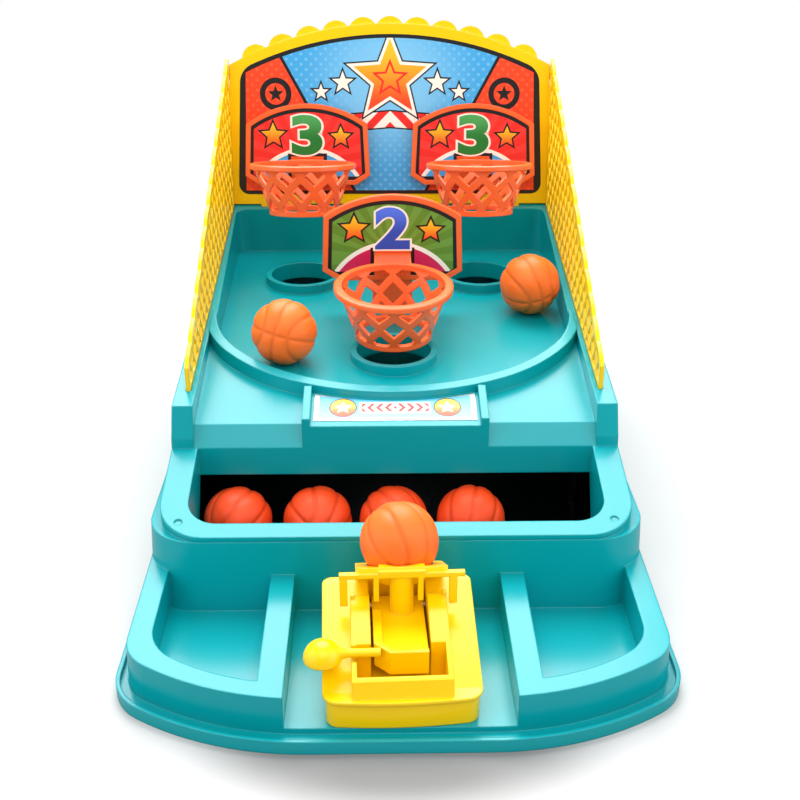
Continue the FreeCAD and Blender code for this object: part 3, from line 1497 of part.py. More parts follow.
def lever_knob():
    """Domed knob on a rod that plugs into the pad's left wall."""
    centre = Vector(-m.knob_side, -m.knob_front, m.knob_base)
    reach = m.knob_radius
    dome = Part.makeSphere(reach, centre)
    upper = block(centre.x - reach, centre.x + reach, centre.y - reach, centre.y + reach,
                  centre.z, centre.z + reach)
    end = -m.pad_half_width + m.knob_rod_depth - m.pin_clearance
    stem = rod(m.knob_rod_radius, (centre.x, centre.y, m.knob_height), (1, 0, 0), end - centre.x)
    neck = Part.makeCone(reach * m.knob_neck_share, m.knob_rod_radius, m.knob_neck_length,
                         Vector(centre.x, centre.y, m.knob_height), Vector(1, 0, 0))
    neck = neck.common(block(centre.x, centre.x + 2 * reach, centre.y - reach, centre.y + reach,
                             centre.z, centre.z + reach))
    return dome.common(upper).fuse([neck, stem])


def arm_spring():
    """Compression spring of six-sided wire between the well floor and the pad, with open ends."""
    bottom = m.well_floor
    top = m.pad_height - m.pad_thickness
    height = top - bottom - 2 * m.coil_wire - 2 * m.coil_gap
    pitch = height / m.coil_turns
    radius = m.coil_radius - m.coil_wire
    helix = Part.makeHelix(pitch, height, radius)
    corners = [Vector(radius + m.coil_wire * math.cos(angle), 0, m.coil_wire * math.sin(angle))
               for angle in (math.pi / 3 * step for step in range(7))]
    section = Part.makePolygon(corners)
    coil = Part.Wire(helix.Edges).makePipeShell([section], True, False)
    coil.translate(Vector(0, -m.coil_front, bottom + m.coil_wire + m.coil_gap))
    print("spring gap between turns", round(pitch - 2 * m.coil_wire, 3))
    return coil


# Balls and screws

def make_ball(name, x, y, z, place=place_on_toy):
    """Ball as a bound sphere, drawn about its own centre."""
    ball = doc.addObject("Part::Sphere", name)
    ball.Label = name
    ball.setExpression("Radius", "Sizes.ball_diameter / 2")
    place(ball)
    spot = ball.Placement.multVec(Vector(x, y, z))
    ball.Placement = FreeCAD.Placement(spot, ball.Placement.Rotation)
    shared_parts.append(ball)


def make_balls():
    """Four balls in the trough, two in the basin and one in the launcher's cup."""
    height = m.trough_floor + ball_radius + m.ball_seat_gap
    for index, x in enumerate((m.ball_1_offset, m.ball_2_offset, m.ball_3_offset, m.ball_4_offset)):
        make_ball(f"ball_trough_{index + 1}", x, m.ball_row, height)
    slope_gap = ball_radius * (math.sqrt(1 + m.basin_slope ** 2) - 1) + m.ball_seat_gap
    basin_balls = {
        "ball_basin_left": (m.ball_left_offset, m.ball_left_depth),
        "ball_basin_right": (m.ball_right_offset, m.ball_right_depth),
    }
    for name, (x, y) in basin_balls.items():
        make_ball(name, x, y, basin_floor(y) + ball_radius + slope_gap)
    make_ball("ball_launcher", m.cup_side, m.bowl_back, m.bowl_height, place_on_launcher)


def case_screws():
    """Four screws from below, kept together as one group."""
    screws = []
    for x, y in screw_places():
        seat = m.screw_boss_height - m.screw_seat
        head = rod(m.screw_head_radius, (x, y, seat - m.screw_head_height), (0, 0, 1), m.screw_head_height)
        shank = rod(m.screw_shank_radius, (x, y, seat), (0, 0, 1), m.screw_length)
        screws.append(head.fuse(shank))
    return Part.makeCompound(screws)


feature("base_moulding", base_moulding())
feature("playfield_moulding", playfield_moulding())
feature("front_label", front_label())
make_panel()
make_print()
make_net(-1, "side_net_left")
make_net(1, "side_net_right")
make_hoops()
make_post()
feature("launcher_housing", launcher_housing(), place_on_launcher)
feature("swivel_washer", swivel_washer(), place_on_launcher)
feature("swivel_screw", swivel_screw(), place_on_launcher)
feature("throw_arm", throw_arm(), place_on_launcher)
feature("lever_knob", lever_knob(), place_on_launcher)
feature("arm_pin", rod(m.pin_radius, (-m.pin_half_length + m.pin_clearance, m.pin_back, m.pin_height),
                       (1, 0, 0), 2 * (m.pin_half_length - m.pin_clearance)), place_on_launcher)
feature("arm_spring", arm_spring(), place_on_launcher)
make_balls()
feature("case_screws", case_screws())
doc.recompute()

for item in doc.Objects:
    for flag in ("Invalid", "Error"):
        if flag in item.State:
            raise RuntimeError(f"{item.Name} is {flag}")
for item in shared_parts:
    if item.Shape.isNull() or not item.Shape.isValid():
        raise RuntimeError(f"{item.Label} has no valid shape")
for item in shared_parts:
    item.Shape.exportStep(f"parts/{item.Label}.step")
    print(item.Label, len(item.Shape.Solids), round(item.Shape.Volume, 1))
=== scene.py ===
"""Looks of a tabletop basketball game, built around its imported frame."""

import math

import bpy
import numpy as np
from bpy.props import FloatProperty, FloatVectorProperty, IntProperty, PointerProperty
from mathutils import Matrix, Vector


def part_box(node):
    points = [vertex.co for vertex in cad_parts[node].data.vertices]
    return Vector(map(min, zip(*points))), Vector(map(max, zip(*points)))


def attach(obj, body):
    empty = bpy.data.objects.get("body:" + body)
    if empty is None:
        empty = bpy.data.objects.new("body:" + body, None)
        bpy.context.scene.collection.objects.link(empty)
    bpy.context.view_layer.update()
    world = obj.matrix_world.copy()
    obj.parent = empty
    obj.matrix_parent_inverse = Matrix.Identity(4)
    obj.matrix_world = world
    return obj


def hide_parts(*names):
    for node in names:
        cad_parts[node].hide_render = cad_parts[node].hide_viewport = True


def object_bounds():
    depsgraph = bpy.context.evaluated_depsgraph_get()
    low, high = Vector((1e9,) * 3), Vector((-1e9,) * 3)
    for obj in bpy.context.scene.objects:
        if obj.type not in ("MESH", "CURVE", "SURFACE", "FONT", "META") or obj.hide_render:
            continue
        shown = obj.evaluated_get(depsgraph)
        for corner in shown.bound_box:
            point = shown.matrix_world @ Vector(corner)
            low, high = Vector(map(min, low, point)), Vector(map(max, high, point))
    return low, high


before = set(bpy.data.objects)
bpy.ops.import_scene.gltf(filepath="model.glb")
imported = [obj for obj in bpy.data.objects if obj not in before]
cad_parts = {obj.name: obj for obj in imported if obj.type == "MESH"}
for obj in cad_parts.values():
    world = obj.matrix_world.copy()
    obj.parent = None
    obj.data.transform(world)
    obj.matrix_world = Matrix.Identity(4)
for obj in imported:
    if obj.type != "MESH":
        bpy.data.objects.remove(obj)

bl_info = {
    "name": "Tabletop basketball game",
    "version": (1, 0, 0),
    "blender": (4, 5, 0),
    "location": "View3D > Sidebar > Basketball game",
    "description": "Finishes, prints and balls of a tabletop basketball game",
    "category": "Object",
}

CAD_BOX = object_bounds()
MM = 0.001
STAR_POINTS = 5
NUMERAL_STEPS = 6

# The part of the body coloured black inside, in millimetres: half width, front and corner radius of the
# body's plan, how far inside it the black starts, its back and top, and the floor with the ramp that climbs
# behind it.
PLAN_HALF = 95.4
PLAN_FRONT = -94.1
PLAN_CORNER = 20.0
BLACK_INSET = 1.0
BLACK_BACK = 45.0
BLACK_TOP = 36.8
FLOOR_TOP = 2.5
RAMP_START = -31.5
RAMP_SLOPE = 0.0968


def colour(code):
    """Linear colour from a six-digit code: each channel c is c/12.92 or ((c+0.055)/1.055)^2.4."""
    channels = [int(code[i:i + 2], 16) / 255 for i in (0, 2, 4)]
    return tuple(c / 12.92 if c <= 0.04045 else ((c + 0.055) / 1.055) ** 2.4 for c in channels)


def scaled(base, factor, added=0.0):
    """Colour with each channel times a factor plus a small part, at most 1."""
    return tuple(min(1.0, factor * c + added) for c in base)


def tint(label, code):
    """Colour property with its default given as a code."""
    return FloatVectorProperty(name=label, description=f"Base colour of {label.lower()}", subtype="COLOR",
                               size=3, min=0.0, max=1.0, default=colour(code))


def length(label, words, value):
    """Length property in metres."""
    return FloatProperty(name=label, description=words, subtype="DISTANCE", unit="LENGTH", default=value)


def share(label, words, value):
    """Plain share between 0 and 1."""
    return FloatProperty(name=label, description=words, subtype="FACTOR", min=0.0, max=1.0, default=value)


class GamePlastics(bpy.types.PropertyGroup):
    """Colours and finish of the moulded pieces."""

    teal: tint("Teal mouldings", "029EA6")
    # Black for the inside of the body, under the playfield.
    trough: tint("Trough lining", "050607")
    yellow: tint("Yellow pieces", "FFD002")
    coral: tint("Hoops and boards", "FF6C34")
    roughness: share("Roughness", "Roughness of the moulded pieces", 0.22)
    edge: length("Edge radius", "Radius by which moulded edges look rounded", 0.0009)
    grain: length("Grain", "Size of the faint moulding grain", 0.0007)
    sheen: share("Sheen", "Specular level of the moulded pieces", 0.36)
    steel_roughness: share("Steel roughness", "Roughness of screws, pin, washer and spring", 0.32)


class GameBalls(bpy.types.PropertyGroup):
    """Sizes and colours of the balls."""

    radius: length("Ball radius", "Radius of every ball", 0.015)
    seam_width: length("Seam width", "Width of a moulded seam", 0.00085)
    seam_depth: length("Seam depth", "Depth of a moulded seam", 0.00042)
    puff: length("Panel crown", "How far the panels stand above the seams' shoulders", 0.0003)
    pebble: length("Pebble size", "Size of the faint pebbles", 0.0006)
    sheen: share("Sheen", "Specular level of the balls", 0.3)
    dark: tint("Trough balls", "FA4A14")
    light: tint("Playing balls", "FF701E")
    around: IntProperty(name="Steps around", description="Steps around a ball", default=176)
    upward: IntProperty(name="Steps upward", description="Steps from pole to pole", default=112)


class GamePrints(bpy.types.PropertyGroup):
    """Colours of the printed sheets."""

    sky: tint("Print sky", "3FA9E6")
    sky_dot: tint("Print sky dots", "7CC8F2")
    orange: tint("Print orange", "FF4312")
    orange_dot: tint("Print orange dots", "FF6A35")
    ink: tint("Print black", "0B0A0D")
    white: tint("Print white", "FFF6E8")
    red: tint("Print red", "F0261C")
    sun: tint("Print yellow", "FFC81E")
    green: tint("Numeral green", "0E7A2A")
    blue: tint("Numeral blue", "1B4FB8")
    field: tint("Front board green", "5E8A26")
    pink: tint("Front board pink", "D81E56")
    foil: tint("Label foil", "C9C4BC")
    label: tint("Label field", "8FD3EE")
    roughness: share("Print roughness", "Roughness of the printed sheets", 0.35)


class GamePlaces(bpy.types.PropertyGroup):
    """Where the panel and the boards stand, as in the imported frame."""

    panel_foot: length("Panel foot", "Distance of the panel's foot behind the origin", 0.150972)
    panel_foot_height: length("Panel foot height", "Height of the panel's foot", 0.10093)
    panel_lean: FloatProperty(name="Panel lean", description="Lean of the panel and the rear boards",
                              subtype="ANGLE", unit="ROTATION", default=math.radians(10.4))
    rear_board: length("Rear boards", "Distance of the rear boards' feet behind the origin", 0.147646)
    rear_board_height: length("Rear board height", "Height of the rear boards' feet", 0.112724)
    board_spread: length("Board spread", "Sideways distance of the rear boards", 0.046)
    front_board: length("Front board", "Distance of the front board's foot behind the origin", 0.060472)
    front_board_height: length("Front board height", "Height of the front board's foot", 0.088)
    front_board_lean: FloatProperty(name="Front board lean", description="Lean of the front board",
                                    subtype="ANGLE", unit="ROTATION", default=math.radians(-3.0))
    numeral_height: length("Numeral height", "Height of the numerals on the boards", 0.0202)


class GameStage(bpy.types.PropertyGroup):
    """Camera, lamps and floor."""

    focal: FloatProperty(name="Focal length", description="Focal length of the camera in millimetres",
                         subtype="DISTANCE_CAMERA", default=49.5)
    sensor: FloatProperty(name="Sensor", description="Width of the camera's sensor in millimetres",
                          subtype="DISTANCE_CAMERA", default=36.0)
    camera: FloatVectorProperty(name="Camera", description="Place of the camera", subtype="TRANSLATION",
                                unit="LENGTH", default=(-0.00663, -0.45747, 0.27694))
    pitch: FloatProperty(name="Pitch", description="How far the camera looks down", subtype="ANGLE",
                         unit="ROTATION", default=math.radians(26.25))
    yaw: FloatProperty(name="Yaw", description="How far the camera looks to the right", subtype="ANGLE",
                       unit="ROTATION", default=math.radians(1.17))
    roll: FloatProperty(name="Roll", description="Turn of the camera about its view", subtype="ANGLE",
                        unit="ROTATION", default=math.radians(-0.18))
    key: FloatProperty(name="Key lamp", description="Power of the large lamp above and behind",
                       subtype="POWER", unit="POWER", default=19.0)
    side: FloatProperty(name="Side lamps", description="Power of the soft lamp on each side",
                        subtype="POWER", unit="POWER", default=8.5)
    front: FloatProperty(name="Front lamp", description="Power of the soft lamp in front", subtype="POWER",
                         unit="POWER", default=5.2)
    world: share("World", "Strength of the pale surroundings", 0.4)


class Wire:
    """A value or colour on its way through a material; arithmetic on wires adds Math nodes."""

    def __init__(self, paint, socket):
        self.paint = paint
        self.socket = socket

    def maths(self, operation, other=None, swapped=False):
        values = [self] if other is None else ([other, self] if swapped else [self, other])
        return self.paint.node("ShaderNodeMath", {"operation": operation}, dict(enumerate(values)))

    def __add__(self, other):
        return self.maths("ADD", other)

    __radd__ = __add__

    def __sub__(self, other):
        return self.maths("SUBTRACT", other)

    def __rsub__(self, other):
        return self.maths("SUBTRACT", other, swapped=True)

    def __mul__(self, other):
        return self.maths("MULTIPLY", other)

    __rmul__ = __mul__

    def __truediv__(self, other):
        return self.maths("DIVIDE", other)

    def __rtruediv__(self, other):
        return self.maths("DIVIDE", other, swapped=True)

    def __lt__(self, other):
        return self.maths("LESS_THAN", other)

    def __gt__(self, other):
        return self.maths("GREATER_THAN", other)

    def __abs__(self):
        return self.maths("ABSOLUTE")

    def least(self, other):
        return self.maths("MINIMUM", other)

    def most(self, other):
        return self.maths("MAXIMUM", other)


class Paint:
    """One material and the nodes that are put into it."""

    def __init__(self, name, roughness, metallic=0.0):
        self.material = bpy.data.materials.new(name)
        self.material.use_nodes = True
        self.tree = self.material.node_tree
        self.shader = self.tree.nodes["Principled BSDF"]
        self.shader.inputs["Roughness"].default_value = roughness
        self.shader.inputs["Metallic"].default_value = metallic

    def node(self, kind, settings=None, inputs=None, output=0):
        """Adds a node: settings first, then its sockets' values and links; gives one output as a wire."""
        made = self.tree.nodes.new(kind)
        for key, value in (settings or {}).items():
            setattr(made, key, value)
        for key, value in (inputs or {}).items():
            sockets = [s for s in made.inputs if s.enabled and s.name == key]
            socket = sockets[0] if isinstance(key, str) else made.inputs[key]
            if isinstance(value, Wire):
                self.tree.links.new(value.socket, socket)
            elif isinstance(value, tuple) and socket.type == "RGBA":
                socket.default_value = (*value, 1.0)
            else:
                socket.default_value = value
        enabled = [s for s in made.outputs if s.enabled]
        return Wire(self, made.outputs[output] if isinstance(output, str) else enabled[output])

    def mix(self, mask, first, second):
        """Colour that goes from the first to the second as the mask goes from 0 to 1."""
        return self.node("ShaderNodeMix", {"data_type": "RGBA"}, {"Factor": mask, "A": first, "B": second})

    def place(self):
        """Position in the object's own coordinates, in metres."""
        return self.node("ShaderNodeTexCoord", output="Object")

    def split(self, vector):
        """The three parts of a vector as wires."""
        first = self.node("ShaderNodeSeparateXYZ", {}, {0: vector})
        sockets = first.socket.node.outputs
        return [Wire(self, sockets[index]) for index in range(3)]

    def along(self, vector, origin, direction):
        """Distance of a point from an origin along a unit direction: (p - o) . d."""
        shifted = self.node("ShaderNodeVectorMath", {"operation": "SUBTRACT"}, {0: vector, 1: origin})
        return self.node("ShaderNodeVectorMath", {"operation": "DOT_PRODUCT"},
                         {0: shifted, 1: direction}, output="Value")

    def noise(self, vector, scale, detail=2.0, roughness=0.5):
        """Soft noise between 0 and 1."""
        return self.node("ShaderNodeTexNoise", {}, {"Vector": vector, "Scale": scale, "Detail": detail,
                                                    "Roughness": roughness}, output="Fac")

    def smooth(self, value, low, high):
        """0 below low, 1 above high and a smooth step between."""
        return self.node("ShaderNodeMapRange", {"interpolation_type": "SMOOTHSTEP"},
                         {"Value": value, "From Min": low, "From Max": high})

    def set(self, **sockets):
        """Sets or links the shader's own sockets by name, with spaces written as underlines."""
        for key, value in sockets.items():
            socket = self.shader.inputs[key.replace("_", " ")]
            if isinstance(value, Wire):
                self.tree.links.new(value.socket, socket)
            elif isinstance(value, tuple) and socket.type == "RGBA":
                socket.default_value = (*value, 1.0)
            else:
                socket.default_value = value


def give(material, *nodes):
    """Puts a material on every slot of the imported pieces."""
    for name in nodes:
        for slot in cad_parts[name].material_slots:
            slot.material = material


def moulded(name, base, settings, black_inside=None):
    """Moulded plastic: slow flow of lighter and darker colour, handled patches, grain, rounded edges that
    are paler, partly from wear and partly as a painted highlight.
    """
    flow_scale, patch_scale = 9.0, 34.0
    darker, lighter = 0.95, 1.03
    edge_wear_and_highlight_most, gloss_change = 0.3, 0.1
    paint = Paint(name, settings.roughness)
    place = paint.place()
    flow = paint.noise(place, flow_scale, 3.0)
    patches = paint.noise(place, patch_scale, 4.0, 0.6)
    shade = paint.mix(paint.smooth(flow, 0.3, 0.7), scaled(base, darker), scaled(base, lighter))
    rounded = paint.node("ShaderNodeBevel", {"samples": 6}, {"Radius": settings.edge})
    flat = paint.node("ShaderNodeNewGeometry", output="True Normal")
    facing = paint.node("ShaderNodeVectorMath", {"operation": "DOT_PRODUCT"}, {0: rounded, 1: flat},
                        output="Value")
    # Paler along rounded edges: partly wear, partly a painted highlight.
    edge_wear_and_highlight = paint.smooth(1.0 - facing, 0.01, 0.3) * (0.2 + 0.5 * patches)
    shade = paint.mix(edge_wear_and_highlight * edge_wear_and_highlight_most, shade, scaled(base, 0.85, 0.12))
    if black_inside is not None:
        shade = black_inside(paint, place, shade)
    grain = paint.noise(place, 1.0 / settings.grain, 2.0)
    bump = paint.node("ShaderNodeBump", {}, {"Strength": 0.04, "Distance": 0.0001, "Height": grain,
                                             "Normal": rounded})
    paint.set(Base_Color=shade, Roughness=settings.roughness - 0.4 * gloss_change + gloss_change * patches,
              Normal=bump, Specular_IOR_Level=settings.sheen)
    return paint.material


class GAME_OT_teal_mouldings(bpy.types.Operator):
    """Finishes the base and the playfield in teal plastic with a black lined trough."""

    bl_idname = "basketball_game.teal_mouldings"
    bl_label = "Teal mouldings"

    def execute(self, context):
        plastics = context.scene.game_plastics

        def black_inside(paint, place, shade):
            """Black inside the body: within its rounded plan, over the floor and under the rim."""
            x, y, z = (part / MM for part in paint.split(place))
            near = ring_distance((abs(x) - (PLAN_HALF - PLAN_CORNER)).most(0.0),
                                 (PLAN_FRONT + PLAN_CORNER - y).most(0.0), (0.0, 0.0))
            # Black over the floor, the ramp and the walls inside the body, below the rim.
            inside = (near < PLAN_CORNER - BLACK_INSET) * (y < BLACK_BACK) * (z < BLACK_TOP)
            over = z > FLOOR_TOP + RAMP_SLOPE * (y - RAMP_START).most(0.0)
            return paint.mix(inside * over, shade, tuple(plastics.trough))

        base = moulded("teal_base", tuple(plastics.teal), plastics, black_inside)
        upper = moulded("teal_playfield", tuple(plastics.teal), plastics)
        give(base, "base_moulding")
        give(upper, "playfield_moulding")
        return {"FINISHED"}


class GAME_OT_yellow_pieces(bpy.types.Operator):
    """Finishes the panel, the nets and the launcher in yellow plastic."""

    bl_idname = "basketball_game.yellow_pieces"
    bl_label = "Yellow pieces"

    def execute(self, context):
        plastics = context.scene.game_plastics
        material = moulded("yellow_plastic", tuple(plastics.yellow), plastics)
        give(material, "backboard_panel", "side_net_left", "side_net_right", "launcher_housing", "throw_arm",
             "lever_knob")
        return {"FINISHED"}


class GAME_OT_hoops(bpy.types.Operator):
    """Finishes the boards, the baskets and the post in coral plastic."""

    bl_idname = "basketball_game.hoops"
    bl_label = "Hoops and boards"

    def execute(self, context):
        plastics = context.scene.game_plastics
        material = moulded("coral_plastic", tuple(plastics.coral), plastics)
        give(material, "hoop_board_left", "hoop_board_right", "hoop_board_front", "basket_left",
             "basket_right", "basket_front", "hoop_post")
        return {"FINISHED"}


class GAME_OT_steel_pieces(bpy.types.Operator):
    """Finishes screws, pin, washer and spring in drawn steel with fine lines."""

    bl_idname = "basketball_game.steel_pieces"
    bl_label = "Steel pieces"

    def execute(self, context):
        roughness = context.scene.game_plastics.steel_roughness
        paint = Paint("drawn_steel", roughness, 1.0)
        place = paint.place()
        stretched = paint.node("ShaderNodeMapping", {}, {"Vector": place, "Scale": (1.0, 1.0, 9.0)})
        lines = paint.noise(stretched, 400.0, 3.0)
        stain = paint.noise(place, 120.0, 3.0)
        paint.set(Base_Color=paint.mix(stain, colour("B9B9B6"), colour("D8D8D8")),
                  Roughness=roughness - 0.08 + 0.2 * lines,
                  Normal=paint.node("ShaderNodeBump", {}, {"Strength": 0.1, "Distance": 0.0001,
                                                           "Height": lines}))
        give(paint.material, "case_screws", "swivel_washer", "swivel_screw", "arm_pin", "arm_spring")
        return {"FINISHED"}


def plane_of(foot, height, lean, side=0.0):
    """Origin, across and upward directions of an upright plane that leans back by an angle."""
    return (side, foot, height), (1.0, 0.0, 0.0), (0.0, math.sin(lean), math.cos(lean))


def sheet_coordinates(paint, plane):
    """Across and upward distances of the surface in a plane, in millimetres."""
    origin, across, upward = plane
    place = paint.place()
    return paint.along(place, origin, across) / MM, paint.along(place, origin, upward) / MM


def dots(paint, u, v, pitch, radius):
    """Mask of round dots on a staggered grid, by the distance to the nearest centre."""
    def grid(shift):
        across = abs((u / pitch + shift).maths("FRACT") - 0.5)
        upward = abs((v / pitch + shift).maths("FRACT") - 0.5)
        return (across * across + upward * upward).maths("SQRT") * pitch

    nearest = grid(0.0).least(grid(0.5))
    return 1.0 - paint.smooth(nearest, radius * 0.8, radius)


def star_distance(u, v, centre, radius, inner):
    """Signed distance to a star's edge: angle folded to one half point, then distance to its side."""
    x, y = u - centre[0], v - centre[1]
    reach = (x * x + y * y).maths("SQRT")
    half_point = math.pi / STAR_POINTS
    folded = (y.maths("ARCTAN2", x) - math.pi / 2).maths("PINGPONG", half_point)
    px, py = reach * folded.maths("COSINE"), reach * folded.maths("SINE")
    corner = (inner * math.cos(half_point), inner * math.sin(half_point))
    side = (corner[0] - radius, corner[1])
    size = math.hypot(*side)
    return (px - radius) * (side[1] / size) - py * (side[0] / size)


def ring_distance(u, v, centre):
    """Distance of a point from a centre."""
    x, y = u - centre[0], v - centre[1]
    return (x * x + y * y).maths("SQRT")


def arch(half, rise, top):
    """Centre height and radius of the arc over a chord: r = (half^2 + rise^2) / (2 rise)."""
    radius = (half ** 2 + rise ** 2) / (2 * rise)
    return top - radius, radius


def printed(paint, shade, roughness):
    """Finish of a printed sheet: faint screen of the print in the gloss and a slight waviness."""
    place = paint.place()
    speck = paint.noise(place, 900.0, 2.0)
    wave = paint.noise(place, 60.0, 1.0)
    paint.set(Base_Color=shade, Roughness=roughness - 0.05 + 0.1 * speck,
              Normal=paint.node("ShaderNodeBump", {}, {"Strength": 0.05, "Distance": 0.0004,
                                                       "Height": wave}))
    return paint.material


class GAME_OT_panel_print(bpy.types.Operator):
    """Prints the panel: sky and orange fields with dots, black lines, a large star and stripes."""

    bl_idname = "basketball_game.panel_print"
    bl_label = "Panel print"

    def execute(self, context):
        prints, places = context.scene.game_prints, context.scene.game_places
        paint = Paint("panel_print", prints.roughness)
        u, v = sheet_coordinates(paint, plane_of(places.panel_foot, places.panel_foot_height,
                                                 places.panel_lean))
        shade = self.fields(paint, prints, u, v)
        shade = self.ribbon(paint, prints, u, v, shade)
        shade = self.small_marks(paint, prints, u, v, shade)
        shade = self.large_star(paint, prints, u, v, shade)
        shade = self.border(paint, prints, u, v, shade)
        give(printed(paint, shade, prints.roughness), "backboard_print")
        return {"FINISHED"}

    def fields(self, paint, prints, u, v):
        """Dotted sky with a glow behind the star, dotted orange wings, slanting lines and one level line."""
        pitch, radius = 5.4, 0.95
        glow_height, glow_inner, glow_outer = 66.0, 12.0, 52.0
        wing_half, wing_height, wing_slope = 49.0, 60.0, 0.55
        slant_line, level, level_line = 0.95, 43.0, 0.9
        sky = paint.mix(dots(paint, u, v, pitch, radius) * 0.7, tuple(prints.sky), tuple(prints.sky_dot))
        glow = paint.smooth(ring_distance(u, v, (0.0, glow_height)), glow_inner, glow_outer)
        sky = paint.mix(1.0 - glow, sky, tuple(prints.sky_dot))
        flame = paint.mix(dots(paint, u, v, pitch, radius) * 0.6, tuple(prints.orange),
                          tuple(prints.orange_dot))
        slant = abs(u) - wing_slope * (v - wing_height) - wing_half
        shade = paint.mix(slant > 0.0, sky, flame)
        shade = paint.mix(abs(slant) < slant_line, shade, tuple(prints.ink))
        return paint.mix(abs(v - level) < level_line, shade, tuple(prints.ink))

    def ribbon(self, paint, prints, u, v, shade):
        """Striped ribbon under the star, bent down at its ends, in a black line."""
        height, bend, half, half_length, line, stripe = 46.5, 0.08, 4.2, 21.0, 0.8, 3.0
        off = abs(v - height + abs(u) * bend)
        stripes = (abs(u) * 0.5 + v * 0.5).maths("PINGPONG", stripe) < stripe / 2
        shade = paint.mix((off < half + line) * (abs(u) < half_length + line), shade, tuple(prints.ink))
        return paint.mix((off < half) * (abs(u) < half_length), shade,
                         paint.mix(stripes, tuple(prints.red), tuple(prints.white)))

    def small_marks(self, paint, prints, u, v, shade):
        """Two white stars and a black ring with a star in it, on each side."""
        line, slimness = 0.8, 0.42
        ring_out, ring_up, ring_radius, ring_half = 63.0, 60.0, 7.2, 1.5
        core_radius, core_inner = 4.6, 2.0
        for side in (-1.0, 1.0):
            for out, up, size in ((26.0, 66.0, 6.2), (38.0, 61.0, 4.4)):
                small = star_distance(u, v, (side * out, up), size, size * slimness)
                shade = paint.mix(small < line, shade, tuple(prints.ink))
                shade = paint.mix(small < 0.0, shade, tuple(prints.white))
            middle = (side * ring_out, ring_up)
            ring = abs(ring_distance(u, v, middle) - ring_radius)
            shade = paint.mix(ring < ring_half, shade, tuple(prints.ink))
            core = star_distance(u, v, middle, core_radius, core_inner)
            shade = paint.mix(core < 0.0, shade, tuple(prints.ink))
        return shade

    def large_star(self, paint, prints, u, v, shade):
        """Large star that goes from orange to yellow, with a red star line, in white and black."""
        height, radius, inner = 68.0, 20.5, 9.0
        black, white, filled = 2.6, 1.8, 0.2
        line_depth, line_half = 4.2, 0.55
        low, high = 52.0, 86.0
        star = star_distance(u, v, (0.0, height), radius, inner)
        shade = paint.mix(star < black, shade, tuple(prints.ink))
        shade = paint.mix(star < white, shade, tuple(prints.white))
        warm = paint.mix(paint.smooth(v, low, high), tuple(prints.orange), tuple(prints.sun))
        shade = paint.mix(star < filled, shade, warm)
        return paint.mix(abs(star + line_depth) < line_half, shade, tuple(prints.red))

    def border(self, paint, prints, u, v, shade):
        """Black line along the sheet's edge: two sides, the foot and the arched top."""
        half, taper, top, rise, chord_half = 82.4, 0.03, 97.0, 21.5, 87.6
        side_line, edge_line = 1.2, 7.6
        centre, radius = arch(chord_half, rise, top)
        reach = ring_distance(u, v, (0.0, centre))
        edge = (abs(u) > half - taper * v - side_line).most(v < edge_line).most(reach > radius - edge_line)
        return paint.mix(edge, shade, tuple(prints.ink))


def text_plate(name, words, size, thicken, plane, centre, lift, depth, stretch):
    """Numeral as a thin raised plate in a plane: the font's outline grown by an offset and given a depth."""
    curve = bpy.data.curves.new(name + "_outline", "FONT")
    curve.body = words
    curve.size = size
    curve.align_x = "CENTER"
    curve.offset = thicken
    curve.extrude = depth / 2
    curve.resolution_u = NUMERAL_STEPS
    text = bpy.data.objects.new(name + "_outline", curve)
    bpy.context.collection.objects.link(text)
    mesh = bpy.data.meshes.new_from_object(text.evaluated_get(bpy.context.evaluated_depsgraph_get()))
    bpy.data.objects.remove(text)
    mesh.name = name
    count = len(mesh.vertices)
    points = np.empty(count * 3)
    mesh.vertices.foreach_get("co", points)
    points = points.reshape(-1, 3)
    low, high = points.min(axis=0), points.max(axis=0)
    local = points - (low + high) / 2
    origin, across, upward = (np.array(part) for part in plane)
    outward = np.cross(across, upward)
    placed = (origin + np.outer(local[:, 0] * stretch + centre[0], across)
              + np.outer(local[:, 1] + centre[1], upward) + np.outer(local[:, 2] + lift, outward))
    mesh.vertices.foreach_set("co", placed.ravel())
    made = bpy.data.objects.new(name, mesh)
    bpy.context.collection.objects.link(made)
    return made


